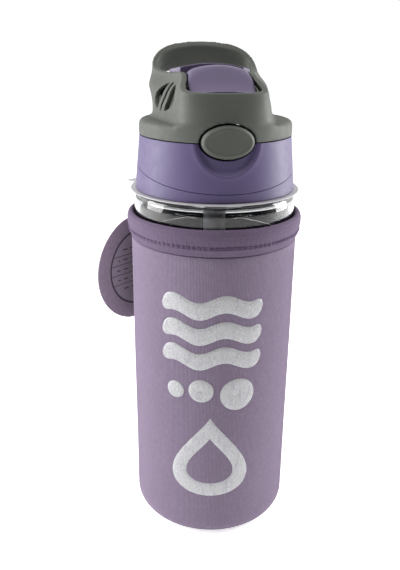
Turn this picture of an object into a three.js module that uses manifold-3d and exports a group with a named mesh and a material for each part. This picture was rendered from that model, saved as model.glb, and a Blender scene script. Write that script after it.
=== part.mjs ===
// A kids water bottle: a clear bottle in a neoprene sleeve, with a screw-on flip-spout lid.
// Millimetres, +Z up, origin at the middle of the sleeve's base, button towards -Y.

import * as THREE from "three";
import { mergeVertices } from "three/addons/utils/BufferGeometryUtils.js";
import Module from "manifold-3d";

const wasm = await Module();
wasm.setup();

// ---------------------------------------------------------------- driving dimensions

const GAP = 0.3; // between neighbouring pieces
const ROUND = 48; // segments around a turned piece
const FLATNESS = 0.02; // faces that lie this close to flat are merged

// Sleeve and bottle
const SLEEVE_R = 36;
const SLEEVE_WALL = 1.2;
const SLEEVE_TOP = 136;
const SLEEVE_FLOOR = 1.7;
const EDGE_R = 6; // rounding of the bottom edge
const HEM_R = 38;
const HEM_TOP = 147.5;
const BOTTLE_R = SLEEVE_R - SLEEVE_WALL - GAP;
const BOTTLE_WALL = 2;
const SHOULDER_Z = 156.3;
const NECK_R = 25.8;
const NECK_BORE = 23.8;
const NECK_TOP = 168.5;

// Screw thread
const THREAD_PITCH = 4;
const THREAD_TURNS = 1.5;
const THREAD_SECTION = 0.8;
const THREAD_START = 160.2;

// Lid core and collar
const CORE_R = 29.6;
const CORE_BORE = NECK_R + 2;
const CORE_BOTTOM = 158.5;
const DECK_BOTTOM = 170.7;
const DECK_TOP = 172.7;
const CORE_TOP = 179;
const COLLAR_BOTTOM = 157.3;
const COLLAR_BOTTOM_R = 33.85;
const COLLAR_TOP = 179.2;
const COLLAR_TOP_R = 31.75;
const COLLAR_WALL = 1.85;
const PARTING_Z = 167.6; // height of the tilted parting plane on the axis
const PARTING_SLOPE = 0.2096; // its rise towards the back, per millimetre

// Cover with the carrying loop
const COVER_BOTTOM = COLLAR_TOP + GAP;
const COVER_R = COLLAR_TOP_R;
const COVER_WALL = 2.2;
const SHOULDER_TOP = 185.6;
const SHOULDER_PLATE = 2;
const LOOP_HOLE_HALF = 19.5;
const LOOP_HOLE_BOTTOM = 188;
const LOOP_HOLE_TOP = 202.4;
const COMPARTMENT_REAR = 8; // the spout's compartment ends here, in front of the loop's floor
const LOOP_FLOOR_TOP = 187.5;

// Button
const BUTTON_Z = 179.9;
const BUTTON_HALF_W = 10.25;
const BUTTON_HALF_H = 6.3;
const BUTTON_GAP = 0.8;
const BUTTON_FACE_R = 32.6;
const BUTTON_BACK_Y = -30;
const RECESS_R = 11.6; // crescent recess in the collar, around the button
const RECESS_FLOOR_R = 31;

// Spout hinge
const HINGE_Y = -1;
const HINGE_Z = 195.5;
const BARREL_R = 5.2;
const BARREL_HALF = 8;
const DUCT_TILT = THREE.MathUtils.degToRad(10);
const DUCT_R = 3.4;
const DUCT_BORE = 2.2;
const DUCT_LENGTH = 16;
const PIN_R = 1.5;
const LUG_IN = 12.9;
const LUG_OUT = 14.9;
const COVER_HALF = 12.3;
const COVER_SHELL = 1.6;

// Straw
const SOCKET_R = 4.8;
const SOCKET_BORE = 3.6;
const SOCKET_BOTTOM = 118;
const STRAW_R = 3.3;
const STRAW_BORE = 2.5;
const STRAW_BOTTOM = 8;

// Hang tag
const TAG_THICK = 0.4;
const TAG_Z = SHOULDER_Z + GAP;
const TAG_RING_R = 35.9;
const TAG_DIRECTION = THREE.MathUtils.degToRad(131); // which way the tongue points, from +X
const TAG_DISTANCE = 39.3; // from the bottle's axis to the hanging card
const TAG_SIDE = 8.6; // how far the tongue sits beside the centre line
const TAG_TONGUE_HALF = 8.4;
const TAG_FOLD_Z = 153;
const TAG_FLAP_END = 151; // the wide flap ends here and a narrow strip goes on
const TAG_STRIP = 7.3;
const TAG_DISC_R = 25.9;
const TAG_DISC_Z = 113.6;

// ---------------------------------------------------------------- materials

function material(color, roughness, metalness = 0, opacity = 1) {
  return new THREE.MeshStandardMaterial({
    color,
    roughness,
    metalness,
    opacity,
    transparent: opacity < 1,
  });
}

const MATERIALS = {
  neoprene: material(0xa892b8, 0.9),
  clear: material(0xe4ecec, 0.08, 0, 0.3),
  grey: material(0x5d5f59, 0.6),
  purple: material(0x8574b0, 0.45),
  card: material(0x9a8a9e, 0.7),
  silicone: material(0xd8d8d4, 0.5, 0, 0.8),
  inner: material(0xb9b4bd, 0.4),
  steel: material(0xb8bcc0, 0.3, 1),
};

// ---------------------------------------------------------------- helpers

// A closed geometry as a manifold solid, with its faces turned outwards.
function solid(geometry) {
  const bare = geometry.clone();
  bare.deleteAttribute("normal");
  bare.deleteAttribute("uv");
  const merged = mergeVertices(bare, 1e-4);
  const position = merged.attributes.position;
  const index = merged.index.array;
  const corners = [new THREE.Vector3(), new THREE.Vector3(), new THREE.Vector3()];
  const kept = [];
  let volume = 0;
  for (let i = 0; i < index.length; i += 3) {
    const [a, b, c] = [index[i], index[i + 1], index[i + 2]];
    if (a === b || b === c || c === a) continue;
    [a, b, c].forEach((vertex, k) => corners[k].fromBufferAttribute(position, vertex));
    volume += corners[0].dot(corners[1].clone().cross(corners[2]));
    kept.push(a, b, c);
  }
  if (volume < 0) kept.reverse();
  const mesh = new wasm.Mesh({
    numProp: 3,
    vertProperties: new Float32Array(position.array),
    triVerts: new Uint32Array(kept),
  });
  return new wasm.Manifold(mesh);
}

function geometryOf(manifold) {
  const mesh = manifold.simplify(FLATNESS).getMesh();
  const geometry = new THREE.BufferGeometry();
  geometry.setAttribute("position", new THREE.BufferAttribute(mesh.vertProperties, 3));
  geometry.setIndex(new THREE.BufferAttribute(mesh.triVerts, 1));
  geometry.computeVertexNormals();
  return geometry;
}

// A turned solid: profile is a list of [radius, height], turned about Z.
function turned(profile, segments = ROUND) {
  const points = profile.map(([r, z]) => new THREE.Vector2(r, z));
  const onAxis = profile[0][0] === 0 && profile.at(-1)[0] === 0;
  if (!onAxis) points.push(points[0].clone());
  return solid(new THREE.LatheGeometry(points, segments).rotateX(Math.PI / 2));
}

function tube(outer, inner, bottom, top, segments = ROUND) {
  return turned([[inner, bottom], [outer, bottom], [outer, top], [inner, top]], segments);
}

function cylinder(radius, bottom, top, segments = ROUND) {
  return turned([[0, bottom], [radius, bottom], [radius, top], [0, top]], segments);
}

function box(x0, x1, y0, y1, z0, z1) {
  const geometry = new THREE.BoxGeometry(x1 - x0, y1 - y0, z1 - z0);
  geometry.translate((x0 + x1) / 2, (y0 + y1) / 2, (z0 + z1) / 2);
  return solid(geometry);
}

// An outline of [y, z] points, pushed from x0 to x1.
function pushedAlongX(outline, x0, x1) {
  const shape = new THREE.Shape(outline.map(([y, z]) => new THREE.Vector2(y, z)));
  const geometry = new THREE.ExtrudeGeometry(shape, { depth: x1 - x0, bevelEnabled: false });
  geometry.applyMatrix4(new THREE.Matrix4().set(0, 0, 1, x0, 1, 0, 0, 0, 0, 1, 0, 0, 0, 0, 0, 1));
  return solid(geometry);
}

// A shape drawn in (x, z), pushed from y0 to y1.
function pushedAlongY(shape, y0, y1, curveSegments = 12) {
  const geometry = new THREE.ExtrudeGeometry(shape, {
    depth: y1 - y0,
    bevelEnabled: false,
    curveSegments,
  });
  geometry.applyMatrix4(new THREE.Matrix4().set(1, 0, 0, 0, 0, 0, 1, y0, 0, 1, 0, 0, 0, 0, 0, 1));
  return solid(geometry);
}

function ellipse(halfWidth, halfHeight, z, x = 0) {
  return new THREE.Shape().absellipse(x, z, halfWidth, halfHeight, 0, 2 * Math.PI);
}

function roundedRectangle(x0, x1, z0, z1, r) {
  return new THREE.Shape()
    .moveTo(x0 + r, z0)
    .lineTo(x1 - r, z0)
    .absarc(x1 - r, z0 + r, r, -Math.PI / 2, 0)
    .lineTo(x1, z1 - r)
    .absarc(x1 - r, z1 - r, r, 0, Math.PI / 2)
    .lineTo(x0 + r, z1)
    .absarc(x0 + r, z1 - r, r, Math.PI / 2, Math.PI)
    .lineTo(x0, z0 + r)
    .absarc(x0 + r, z0 + r, r, Math.PI, 1.5 * Math.PI);
}

// A round wire or ridge along a helix about the Z axis.
function helix(radius, section, bottom, pitch, turns, stepsPerTurn, sides, startAngle = 0) {
  const curve = new THREE.Curve();
  curve.getPoint = (t) => {
    const angle = startAngle + t * turns * 2 * Math.PI;
    const z = bottom + t * turns * pitch;
    return new THREE.Vector3(radius * Math.cos(angle), radius * Math.sin(angle), z);
  };
  const geometry = new THREE.ExtrudeGeometry(
    new THREE.Shape().absarc(0, 0, section, 0, 2 * Math.PI),
    {
      extrudePath: curve,
      steps: Math.round(turns * stepsPerTurn),
      curveSegments: sides / 2,
      bevelEnabled: false,
    },
  );
  return solid(geometry);
}

const quarterArc = (cx, cz, r, from, to, steps = 6) =>
  Array.from({ length: steps + 1 }, (_, i) => {
    const angle = THREE.MathUtils.degToRad(from + ((to - from) * i) / steps);
    return [cx + r * Math.cos(angle), cz + r * Math.sin(angle)];
  });

const collarRadius = (z) =>
  THREE.MathUtils.mapLinear(z, COLLAR_BOTTOM, COLLAR_TOP, COLLAR_BOTTOM_R, COLLAR_TOP_R);

const group = new THREE.Group();

function add(name, manifold, look) {
  const mesh = new THREE.Mesh(geometryOf(manifold), look);
  mesh.name = name;
  group.add(mesh);
  return mesh;
}

// ---------------------------------------------------------------- sleeve

const edgeCentre = SLEEVE_R - EDGE_R;

function sleeveBody() {
  const inner = SLEEVE_R - SLEEVE_WALL;
  return turned([
    ...quarterArc(edgeCentre, EDGE_R, EDGE_R, -90, 0),
    [SLEEVE_R, SLEEVE_TOP],
    [inner, SLEEVE_TOP],
    ...quarterArc(edgeCentre, EDGE_R, EDGE_R - SLEEVE_WALL, 0, -90),
  ]);
}

// The rolled hem stands on the body's top edge and bulges past it.
function sleeveHem() {
  const inner = SLEEVE_R - SLEEVE_WALL;
  const bottom = SLEEVE_TOP + GAP;
  return turned([
    [inner, bottom],
    [SLEEVE_R, bottom],
    [HEM_R - 0.6, bottom + 2],
    [HEM_R, bottom + 4],
    [HEM_R, HEM_TOP - 3.5],
    [HEM_R - 0.6, HEM_TOP - 1.4],
    [HEM_R - 1.6, HEM_TOP - 0.3],
    [inner + 0.6, HEM_TOP],
    [inner, HEM_TOP - 0.6],
  ]);
}

add("sleeve_body", sleeveBody(), MATERIALS.neoprene);
add("sleeve_hem", sleeveHem(), MATERIALS.neoprene);
add("sleeve_base", cylinder(edgeCentre - GAP, 0, SLEEVE_FLOOR), MATERIALS.neoprene);

// ---------------------------------------------------------------- bottle

const bottleFloor = SLEEVE_FLOOR + GAP;

function bottleShell() {
  const inside = BOTTLE_R - BOTTLE_WALL;
  const cornerR = BOTTLE_R - edgeCentre;
  const outer = [
    [0, bottleFloor + 3],
    [14, bottleFloor + 2],
    [24, bottleFloor + 0.4],
    ...quarterArc(edgeCentre, bottleFloor + cornerR, cornerR, -90, 0, 5),
    [BOTTLE_R, 148],
    [BOTTLE_R - 0.2, 152.5],
    ...quarterArc(BOTTLE_R - 2.2, SHOULDER_Z - 2, 2, 0, 90, 4),
    [NECK_R + 1.6, SHOULDER_Z],
    [NECK_R, SHOULDER_Z + 1.6],
    [NECK_R, NECK_TOP],
  ];
  const inner = [
    [NECK_BORE, NECK_TOP],
    [NECK_BORE, SHOULDER_Z - 1],
    [NECK_BORE + 1, SHOULDER_Z - 2],
    ...quarterArc(inside - 2, SHOULDER_Z - 4.5, 2.5, 90, 0, 3),
    [inside, 12],
    ...quarterArc(inside - 4, 8.8, 4, 0, -90, 3),
    [14, bottleFloor + 4.2],
    [0, bottleFloor + 5.2],
  ];
  const ridge = helix(
    NECK_R + 0.1, THREAD_SECTION, THREAD_START, THREAD_PITCH, THREAD_TURNS, 24, 6,
  );
  return turned([...outer, ...inner]).add(ridge);
}

add("bottle_shell", bottleShell(), MATERIALS.clear);

// ---------------------------------------------------------------- hang tag

// Drawn with the tongue towards +X, then turned to its own direction.
function hangTag() {
  const ring = tube(TAG_RING_R, NECK_R + 2.4, TAG_Z, TAG_Z + TAG_THICK, 64);
  const side = [TAG_SIDE - TAG_TONGUE_HALF, TAG_SIDE + TAG_TONGUE_HALF];
  const turnDown = TAG_DISTANCE - TAG_THICK;
  const tongueOutline = [
    [30, TAG_Z],
    [34.4, TAG_Z],
    [turnDown, TAG_FOLD_Z],
    [turnDown, TAG_FLAP_END],
    [TAG_DISTANCE, TAG_FLAP_END],
    [TAG_DISTANCE, TAG_FOLD_Z + 0.3],
    [34.6, TAG_Z + TAG_THICK],
    [30, TAG_Z + TAG_THICK],
  ];
  const tongue = pushedAlongX(tongueOutline, -side[1], -side[0]).rotate([0, 0, -90]);
  const strip = box(
    -side[0] - TAG_STRIP, -side[0], turnDown, TAG_DISTANCE, TAG_DISC_Z + 20, TAG_FLAP_END + 0.5,
  ).rotate([0, 0, -90]);
  const discShape = ellipse(TAG_DISC_R, TAG_DISC_R, TAG_DISC_Z, -TAG_SIDE);
  const disc = pushedAlongY(discShape, turnDown, TAG_DISTANCE, 20).rotate([0, 0, -90]);
  const hole = cylinder(NECK_R + 2.4, TAG_Z - 1, TAG_Z + 1, 64);
  const tag = ring.add(tongue).subtract(hole).add(strip).add(disc);
  return tag.rotate([0, 0, THREE.MathUtils.radToDeg(TAG_DIRECTION)]);
}

add("hang_tag", hangTag(), MATERIALS.card);

// ---------------------------------------------------------------- lid core and collar

function neckGasket() {
  const bottom = NECK_TOP + GAP;
  const top = DECK_BOTTOM - GAP;
  return turned([
    [NECK_BORE + 0.4, bottom],
    [CORE_BORE - 0.5, bottom],
    [CORE_BORE - 0.3, bottom + 0.6],
    [CORE_BORE - 0.5, top],
    [NECK_BORE + 0.4, top],
    [NECK_BORE + 0.1, (bottom + top) / 2],
  ]);
}

const VENT_X = 14;
const VENT_Y = 12;

function lidCore() {
  const skirt = tube(CORE_R, CORE_BORE, CORE_BOTTOM, CORE_TOP);
  const deck = cylinder(CORE_R - 0.5, DECK_BOTTOM, DECK_TOP);
  const towerTop = HINGE_Z - BARREL_R - 2.8;
  const tower = cylinder(5, DECK_BOTTOM + 1, towerTop, 24).translate([0, HINGE_Y, 0]);
  const nipple = cylinder(STRAW_R, 160, DECK_BOTTOM + 1, 24).translate([0, HINGE_Y, 0]);
  const passage = cylinder(DUCT_BORE, 158, towerTop + 2, 16).translate([0, HINGE_Y, 0]);
  const springPost = box(-5, 5, -18, -16.5, DECK_TOP - 0.5, 184);
  const ridgeStart = THREAD_START + THREAD_PITCH / 2;
  const ridge = helix(
    CORE_BORE, THREAD_SECTION, ridgeStart, THREAD_PITCH, THREAD_TURNS, 24, 6, Math.PI,
  );
  const buttonNotch = box(-13, 13, -40, -20, DECK_TOP, CORE_TOP + 1);
  const vent = cylinder(1.3, DECK_BOTTOM - 1, DECK_TOP + 1, 16).translate([VENT_X, VENT_Y, 0]);
  return skirt
    .subtract(buttonNotch)
    .add(deck)
    .add(tower)
    .add(nipple)
    .add(springPost)
    .add(ridge)
    .subtract(passage)
    .subtract(vent);
}

// Everything above (or, turned over, below) the collar's tilted parting plane.
function aboveParting(offset) {
  const reach = 60;
  const lift = PARTING_SLOPE * reach;
  return pushedAlongX(
    [
      [-reach, PARTING_Z + offset - lift],
      [reach, PARTING_Z + offset + lift],
      [reach, PARTING_Z + 60],
      [-reach, PARTING_Z + 60],
    ],
    -reach,
    reach,
  );
}

function collarRing() {
  return turned([
    [COLLAR_BOTTOM_R - COLLAR_WALL, COLLAR_BOTTOM],
    [COLLAR_BOTTOM_R, COLLAR_BOTTOM],
    [COLLAR_TOP_R, COLLAR_TOP],
    [COLLAR_TOP_R - COLLAR_WALL, COLLAR_TOP],
  ], 64);
}

// A round prism through the front, as wide as the button and the gap around it.
function buttonHole() {
  const shape = ellipse(BUTTON_HALF_W + BUTTON_GAP, BUTTON_HALF_H + BUTTON_GAP, BUTTON_Z);
  return pushedAlongY(shape, -40, -22, 20);
}

function collarUpper() {
  const recessPrism = pushedAlongY(ellipse(RECESS_R, RECESS_R, BUTTON_Z), -40, -22, 20);
  const recess = recessPrism.subtract(cylinder(RECESS_FLOOR_R, 150, 200, 96));
  return collarRing()
    .intersect(aboveParting(GAP / 2))
    .subtract(recess)
    .subtract(buttonHole());
}

add("neck_gasket", neckGasket(), MATERIALS.silicone);
add("lid_core", lidCore(), MATERIALS.inner);
add("collar_lower", collarRing().subtract(aboveParting(-GAP / 2)), MATERIALS.purple);
add("collar_upper", collarUpper(), MATERIALS.purple);

// ---------------------------------------------------------------- cover with the loop

// The neck's outline at each height: seven points from the middle of the front, along the
// right-hand side, to the middle of the back. The left-hand side mirrors them.
const NECK_LEVELS = [
  [183, [0, -31.5], [16, -27.1], [22, -12], [24.6, 0], [25.8, 9], [20.5, 22.5], [0, 28.5]],
  [190, [0, -30.4], [15.6, -26], [20.6, -10.5], [23.4, 0], [25.4, 11], [21.5, 24.5], [0, 30.5]],
  [194, [0, -29.2], [15.6, -25], [19.4, -9.5], [22.4, 2], [25.6, 16], [22.5, 28], [0, 34]],
  [197.5, [0, -28], [15.6, -23.8], [18.2, -9], [21, 4], [26, 23], [22.5, 32.5], [0, 38]],
  [203, [0, -26.4], [14, -21], [15, -6], [17.8, 9.5], [23.9, 34], [21, 39.4], [0, 42.2]],
  [210, [0, -25], [13, -19], [14.4, -4], [17.4, 11], [23.5, 35], [19.6, 41.5], [0, 45]],
  [218, [0, -25], [13, -19], [14.4, -4], [17.4, 11], [22.8, 35], [17.8, 42.2], [0, 46.2]],
];
const NECK_SLICES = 11;
const NECK_AROUND = 54;

const neckRails = [1, 2, 3, 4, 5, 6, 7].map((column) => {
  const points = NECK_LEVELS.map((level) => new THREE.Vector3(...level[column], level[0]));
  return new THREE.CatmullRomCurve3(points, false, "catmullrom", 0.5);
});

// One closed slice of the neck, shrunk by inset.
function neckSlice(t, inset) {
  const right = neckRails.map((rail) => rail.getPoint(t));
  const left = right.slice(1, -1).reverse();
  const mirrored = left.map((p) => new THREE.Vector3(-p.x, p.y, p.z));
  const outline = new THREE.CatmullRomCurve3([...right, ...mirrored], true, "centripetal");
  const slice = [];
  for (let i = 0; i < NECK_AROUND; i += 1) {
    const point = outline.getPoint(i / NECK_AROUND);
    const along = outline.getTangent(i / NECK_AROUND);
    const flat = Math.hypot(along.x, along.y);
    slice.push([point.x - (inset * along.y) / flat, point.y + (inset * along.x) / flat, point.z]);
  }
  return slice;
}

function loft(slices) {
  const around = slices[0].length;
  const vertices = slices.flat(2);
  const faces = [];
  for (let s = 0; s + 1 < slices.length; s += 1) {
    for (let i = 0; i < around; i += 1) {
      const next = (i + 1) % around;
      const [a, b] = [s * around + i, s * around + next];
      const [c, d] = [a + around, b + around];
      faces.push(a, b, d, a, d, c);
    }
  }
  for (const [slice, reversed] of [[0, true], [slices.length - 1, false]]) {
    const flat = slices[slice].map(([x, y]) => new THREE.Vector2(x, y));
    for (const face of THREE.ShapeUtils.triangulateShape(flat, [])) {
      const shifted = face.map((vertex) => vertex + slice * around);
      faces.push(...(reversed ? shifted.reverse() : shifted));
    }
  }
  const geometry = new THREE.BufferGeometry();
  geometry.setAttribute("position", new THREE.Float32BufferAttribute(vertices, 3));
  geometry.setIndex(faces);
  return solid(geometry);
}

function neck(inset) {
  const slices = [];
  for (let s = 0; s <= NECK_SLICES; s += 1) {
    slices.push(neckSlice(s / NECK_SLICES, inset));
  }
  return loft(slices);
}

// The rim's height seen from the side, from the front rim over the cheeks to the loop.
const RIM = [
  [-40, 197.3], [-27, 197.5], [-23, 197.9], [-17, 199.6], [-10, 201.9], [-5, 203.3], [-1, 203.7],
  [5, 203.2], [14, 202.9], [23, 203.2], [30, 204.2], [35, 206.2], [39, 209.2], [42.5, 212.6],
  [45, 214.7], [47.5, 215.4], [60, 215.6],
];

function aboveRim() {
  const rim = new THREE.SplineCurve(RIM.map(([y, z]) => new THREE.Vector2(y, z)));
  const line = rim.getPoints(40).map((p) => [p.x, p.y]);
  return pushedAlongX([...line, [60, 240], [-40, 240]], -60, 60);
}

// The slots of one side window: a round outline crossed by two slanted ribs.
const WINDOW_R = [11.4, 6.1];
const WINDOW_Z = 194.2;
const WINDOW_RIBS = [-2.5, 2.5];
const WINDOW_RIB_HALF = 1.3;
const WINDOW_SLANT = THREE.MathUtils.degToRad(-24);
const WINDOW_CENTRE = [21.9, 0.5];
const WINDOW_TURN = 76; // degrees from the front to the way a window faces

function windowSlots(side) {
  const outline = pushedAlongY(ellipse(...WINDOW_R, 0), -8, 5, 12);
  let slots = outline;
  for (const rib of WINDOW_RIBS) {
    const bar = box(rib - WINDOW_RIB_HALF, rib + WINDOW_RIB_HALF, -12, 12, -12, 12);
    const degrees = THREE.MathUtils.radToDeg(WINDOW_SLANT) * -side;
    slots = slots.subtract(bar.rotate([0, degrees, 0]));
  }
  const [x, y] = WINDOW_CENTRE;
  return slots.rotate([0, 0, side * WINDOW_TURN]).translate([side * x, y, WINDOW_Z]);
}

function topCover() {
  const plateBottom = SHOULDER_TOP - SHOULDER_PLATE;
  const inner = COVER_R - COLLAR_WALL;
  const skirt = turned([
    [0, plateBottom],
    [inner, plateBottom],
    [inner, COVER_BOTTOM],
    [COVER_R, COVER_BOTTOM],
    ...quarterArc(COVER_R - 2.8, SHOULDER_TOP - 2.8, 2.8, 0, 90, 5),
    [0, SHOULDER_TOP],
  ], 64);
  const hollow = neck(COVER_WALL);
  const front = box(-60, 60, -60, COMPARTMENT_REAR, 170, 240);
  const rear = box(-60, 60, COMPARTMENT_REAR - 1, 60, LOOP_FLOOR_TOP, 240);
  const loopShape = roundedRectangle(
    -LOOP_HOLE_HALF, LOOP_HOLE_HALF, LOOP_HOLE_BOTTOM, LOOP_HOLE_TOP, 5,
  );
  const fingerHole = pushedAlongY(loopShape, COMPARTMENT_REAR + 6, 60, 5);
  return skirt
    .add(neck(0))
    .subtract(hollow.intersect(front))
    .subtract(hollow.intersect(rear))
    .subtract(aboveRim())
    .subtract(fingerHole)
    .subtract(buttonHole())
    .subtract(windowSlots(1))
    .subtract(windowSlots(-1));
}

add("top_cover", topCover(), MATERIALS.grey);

// ---------------------------------------------------------------- rear guard with the lugs

const GUARD_FRONT = 11.2;
const GUARD_WALL = 1.5;
const GUARD_TOP = 206.7;
const GUARD_ARCH_R = 57;

function rearGuard() {
  const half = LUG_OUT - 1.4;
  const wingX = 17.6;
  const wingY = 17.5;
  const plan = [
    [-half, GUARD_FRONT],
    [half, GUARD_FRONT],
    [wingX, wingY],
    [wingX - GUARD_WALL, wingY + 0.6],
    [half - 0.8, GUARD_FRONT + GUARD_WALL],
    [-half + 0.8, GUARD_FRONT + GUARD_WALL],
    [-wingX + GUARD_WALL, wingY + 0.6],
    [-wingX, wingY],
  ];
  const shape = new THREE.Shape(plan.map(([x, y]) => new THREE.Vector2(x, y)));
  const wallBottom = LOOP_FLOOR_TOP + GAP;
  const upright = new THREE.ExtrudeGeometry(shape, { depth: 22, bevelEnabled: false });
  const wall = solid(upright.translate(0, 0, wallBottom));
  const archCentre = GUARD_TOP - GUARD_ARCH_R;
  const arch = pushedAlongY(ellipse(GUARD_ARCH_R, GUARD_ARCH_R, archCentre), 0, 30, 60);
  const lugTop = HINGE_Z + 4.6;
  const lugFoot = DECK_TOP + GAP;
  let guard = wall.intersect(arch);
  for (const side of [-1, 1]) {
    const [x0, x1] = side > 0 ? [LUG_IN, LUG_OUT] : [-LUG_OUT, -LUG_IN];
    const lug = pushedAlongX(
      [
        [HINGE_Y - 3.6, lugFoot],
        [COMPARTMENT_REAR - 1, lugFoot],
        [COMPARTMENT_REAR - 1, wallBottom],
        [GUARD_FRONT + 0.8, wallBottom],
        [GUARD_FRONT + 0.8, lugTop],
        [HINGE_Y + 2, lugTop],
        [HINGE_Y - 2.4, lugTop - 1.2],
        [HINGE_Y - 3.6, lugTop - 3.4],
      ],
      x0,
      x1,
    );
    guard = guard.add(lug);
  }
  const pinHole = cylinder(PIN_R + GAP, -20, 20, 16).rotate([0, 90, 0]);
  return guard.subtract(pinHole.translate([0, HINGE_Y, HINGE_Z]));
}

add("rear_guard", rearGuard(), MATERIALS.purple);

// ---------------------------------------------------------------- button and latch

const SPRING_Z = 178.5;
const BOSS_Y = -26.2;

function pushButton() {
  const plate = pushedAlongY(ellipse(BUTTON_HALF_W, BUTTON_HALF_H, BUTTON_Z), -40, -26, 24);
  const face = cylinder(BUTTON_FACE_R, 160, 200, 128);
  const behind = box(-20, 20, BUTTON_BACK_Y, 0, 160, 200);
  const boss = cylinder(3.2, 0, 4.3, 16).rotate([-90, 0, 0]);
  return plate
    .intersect(face)
    .subtract(behind)
    .add(boss.translate([0, BUTTON_BACK_Y - 0.5, SPRING_Z]));
}

// The flange rests on the button's back; two arms step over the cover's front edge and run
// back to their noses.
function buttonLatch() {
  const back = BUTTON_BACK_Y + GAP;
  let latch = box(-7.2, 7.2, back, back + 1.2, 182.3, 184.5);
  for (const side of [-1, 1]) {
    const [x0, x1] = side > 0 ? [5.2, 7.2] : [-7.2, -5.2];
    const arm = pushedAlongX(
      [
        [back, 183.3],
        [-26.2, 183.3],
        [-26.2, 186.4],
        [-16, 186.4],
        [-16, 191],
        [-18.6, 191],
        [-18.6, 190],
        [-17.5, 189.6],
        [-17.5, 187.6],
        [-27.4, 187.6],
        [-27.4, 184.5],
        [back, 184.5],
      ],
      x0,
      x1,
    );
    latch = latch.add(arm);
  }
  return latch;
}

function buttonSpring() {
  const rest = -18 - GAP - 0.4;
  const start = BOSS_Y + GAP + 0.4;
  const coil = helix(2.6, 0.4, 0, (rest - start) / 5, 5, 14, 6);
  return coil.rotate([-90, 0, 0]).translate([0, start, SPRING_Z]);
}

add("push_button", pushButton(), MATERIALS.grey);
add("button_latch", buttonLatch(), MATERIALS.inner);
add("button_spring", buttonSpring(), MATERIALS.steel);

// ---------------------------------------------------------------- spout

// Turns a piece drawn along -Y from the hinge into its place on the tilted duct.
function onDuct(manifold) {
  return manifold
    .rotate([THREE.MathUtils.radToDeg(DUCT_TILT), 0, 0])
    .translate([0, HINGE_Y, HINGE_Z]);
}

// A turned piece along the duct: profile is a list of [radius, distance from the hinge].
function alongDuct(profile, segments) {
  return onDuct(turned(profile, segments).rotate([90, 0, 0]));
}

function spoutArm() {
  const barrel = cylinder(BARREL_R, -BARREL_HALF, BARREL_HALF, 40)
    .rotate([0, 90, 0])
    .translate([0, HINGE_Y, HINGE_Z]);
  const duct = alongDuct([[0, 1], [DUCT_R, 1], [DUCT_R, DUCT_LENGTH], [0, DUCT_LENGTH]], 24);
  const bore = alongDuct([[0, -8], [DUCT_BORE, -8], [DUCT_BORE, 20], [0, 20]], 16);
  const spigot = [[0, DUCT_LENGTH - 1], [2.6, DUCT_LENGTH - 1], [2.6, DUCT_LENGTH + 3.4]];
  const nose = alongDuct([...spigot, [0, DUCT_LENGTH + 3.4]], 20);
  const pinBore = cylinder(PIN_R + GAP, 3.6, 20, 16).rotate([0, 90, 0]);
  const pinBores = pinBore.add(pinBore.rotate([0, 180, 0])).translate([0, HINGE_Y, HINGE_Z]);
  return barrel.add(duct).add(nose).subtract(bore).subtract(pinBores);
}

function mouthpiece() {
  const start = DUCT_LENGTH + GAP;
  return alongDuct(
    [
      [2.9, start],
      [3.7, start],
      [3.7, start + 1.6],
      [3.2, start + 2.4],
      [3.2, start + 4.6],
      [2.7, start + 6],
      [1.6, start + 6],
      [1.6, start + 3.8],
      [2.9, start + 3.8],
    ],
    24,
  );
}

// The saddle between the tower and the barrel.
function spoutSeal() {
  const bottom = HINGE_Z - BARREL_R - 2.5;
  const block = box(-5.5, 5.5, HINGE_Y - 4.2, HINGE_Y + 4.2, bottom, bottom + 3.2);
  const seat = cylinder(BARREL_R + GAP, -9, 9, 40).rotate([0, 90, 0]);
  const port = cylinder(DUCT_BORE, 180, 200, 16).translate([0, HINGE_Y, 0]);
  return block.subtract(seat.translate([0, HINGE_Y, HINGE_Z])).subtract(port);
}

// The slide-shaped cover, drawn from the side and arched across.
const SLIDE = [
  [-22.4, 196.7], [-20, 197.3], [-17, 198.6], [-13, 201], [-9.5, 204], [-7, 205.7], [-4.5, 206.3],
  [-1, 206.2], [2.5, 205.2], [4.6, 203.2],
];

function spoutCover() {
  const top = new THREE.SplineCurve(SLIDE.map(([y, z]) => new THREE.Vector2(y, z)));
  const outer = top.getPoints(24).map((p) => [p.x, p.y]);
  const underside = outer.map(([y, z]) => [y, z - COVER_SHELL]).reverse();
  const sheet = pushedAlongX([...outer, ...underside], -COVER_HALF, COVER_HALF);
  const archR = 34;
  const archShape = ellipse(archR, archR, 206.3 - archR);
  const arch = pushedAlongY(archShape, -40, 20, 48);
  const skirtOutline = [
    ...outer.map(([y, z]) => [y, z - 0.4]),
    [4.6, HINGE_Z - 1],
    [HINGE_Y + 1.5, HINGE_Z - 3.5],
    [HINGE_Y - 2.5, HINGE_Z - 3.5],
    [-12, HINGE_Z - 1.5],
    [-21.4, HINGE_Z - 0.8],
  ];
  let cover = sheet;
  for (const side of [-1, 1]) {
    const [x0, x1] = side > 0 ? [COVER_HALF - 1.3, COVER_HALF] : [-COVER_HALF, 1.3 - COVER_HALF];
    cover = cover.add(pushedAlongX(skirtOutline, x0, x1));
    const [t0, t1] = side > 0 ? [5.4, 7.5] : [-7.5, -5.4];
    const tab = pushedAlongX(
      [
        [-20.6, 187.9], [-19.2, 187.9], [-18.9, 188.4], [-18.9, 189.4], [-19.4, 189.7],
        [-19.4, 196.6], [-20.6, 196.2],
      ],
      t0,
      t1,
    );
    cover = cover.add(tab);
  }
  const pinHole = cylinder(PIN_R + GAP, -20, 20, 16).rotate([0, 90, 0]);
  return cover.intersect(arch).subtract(pinHole.translate([0, HINGE_Y, HINGE_Z]));
}

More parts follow.
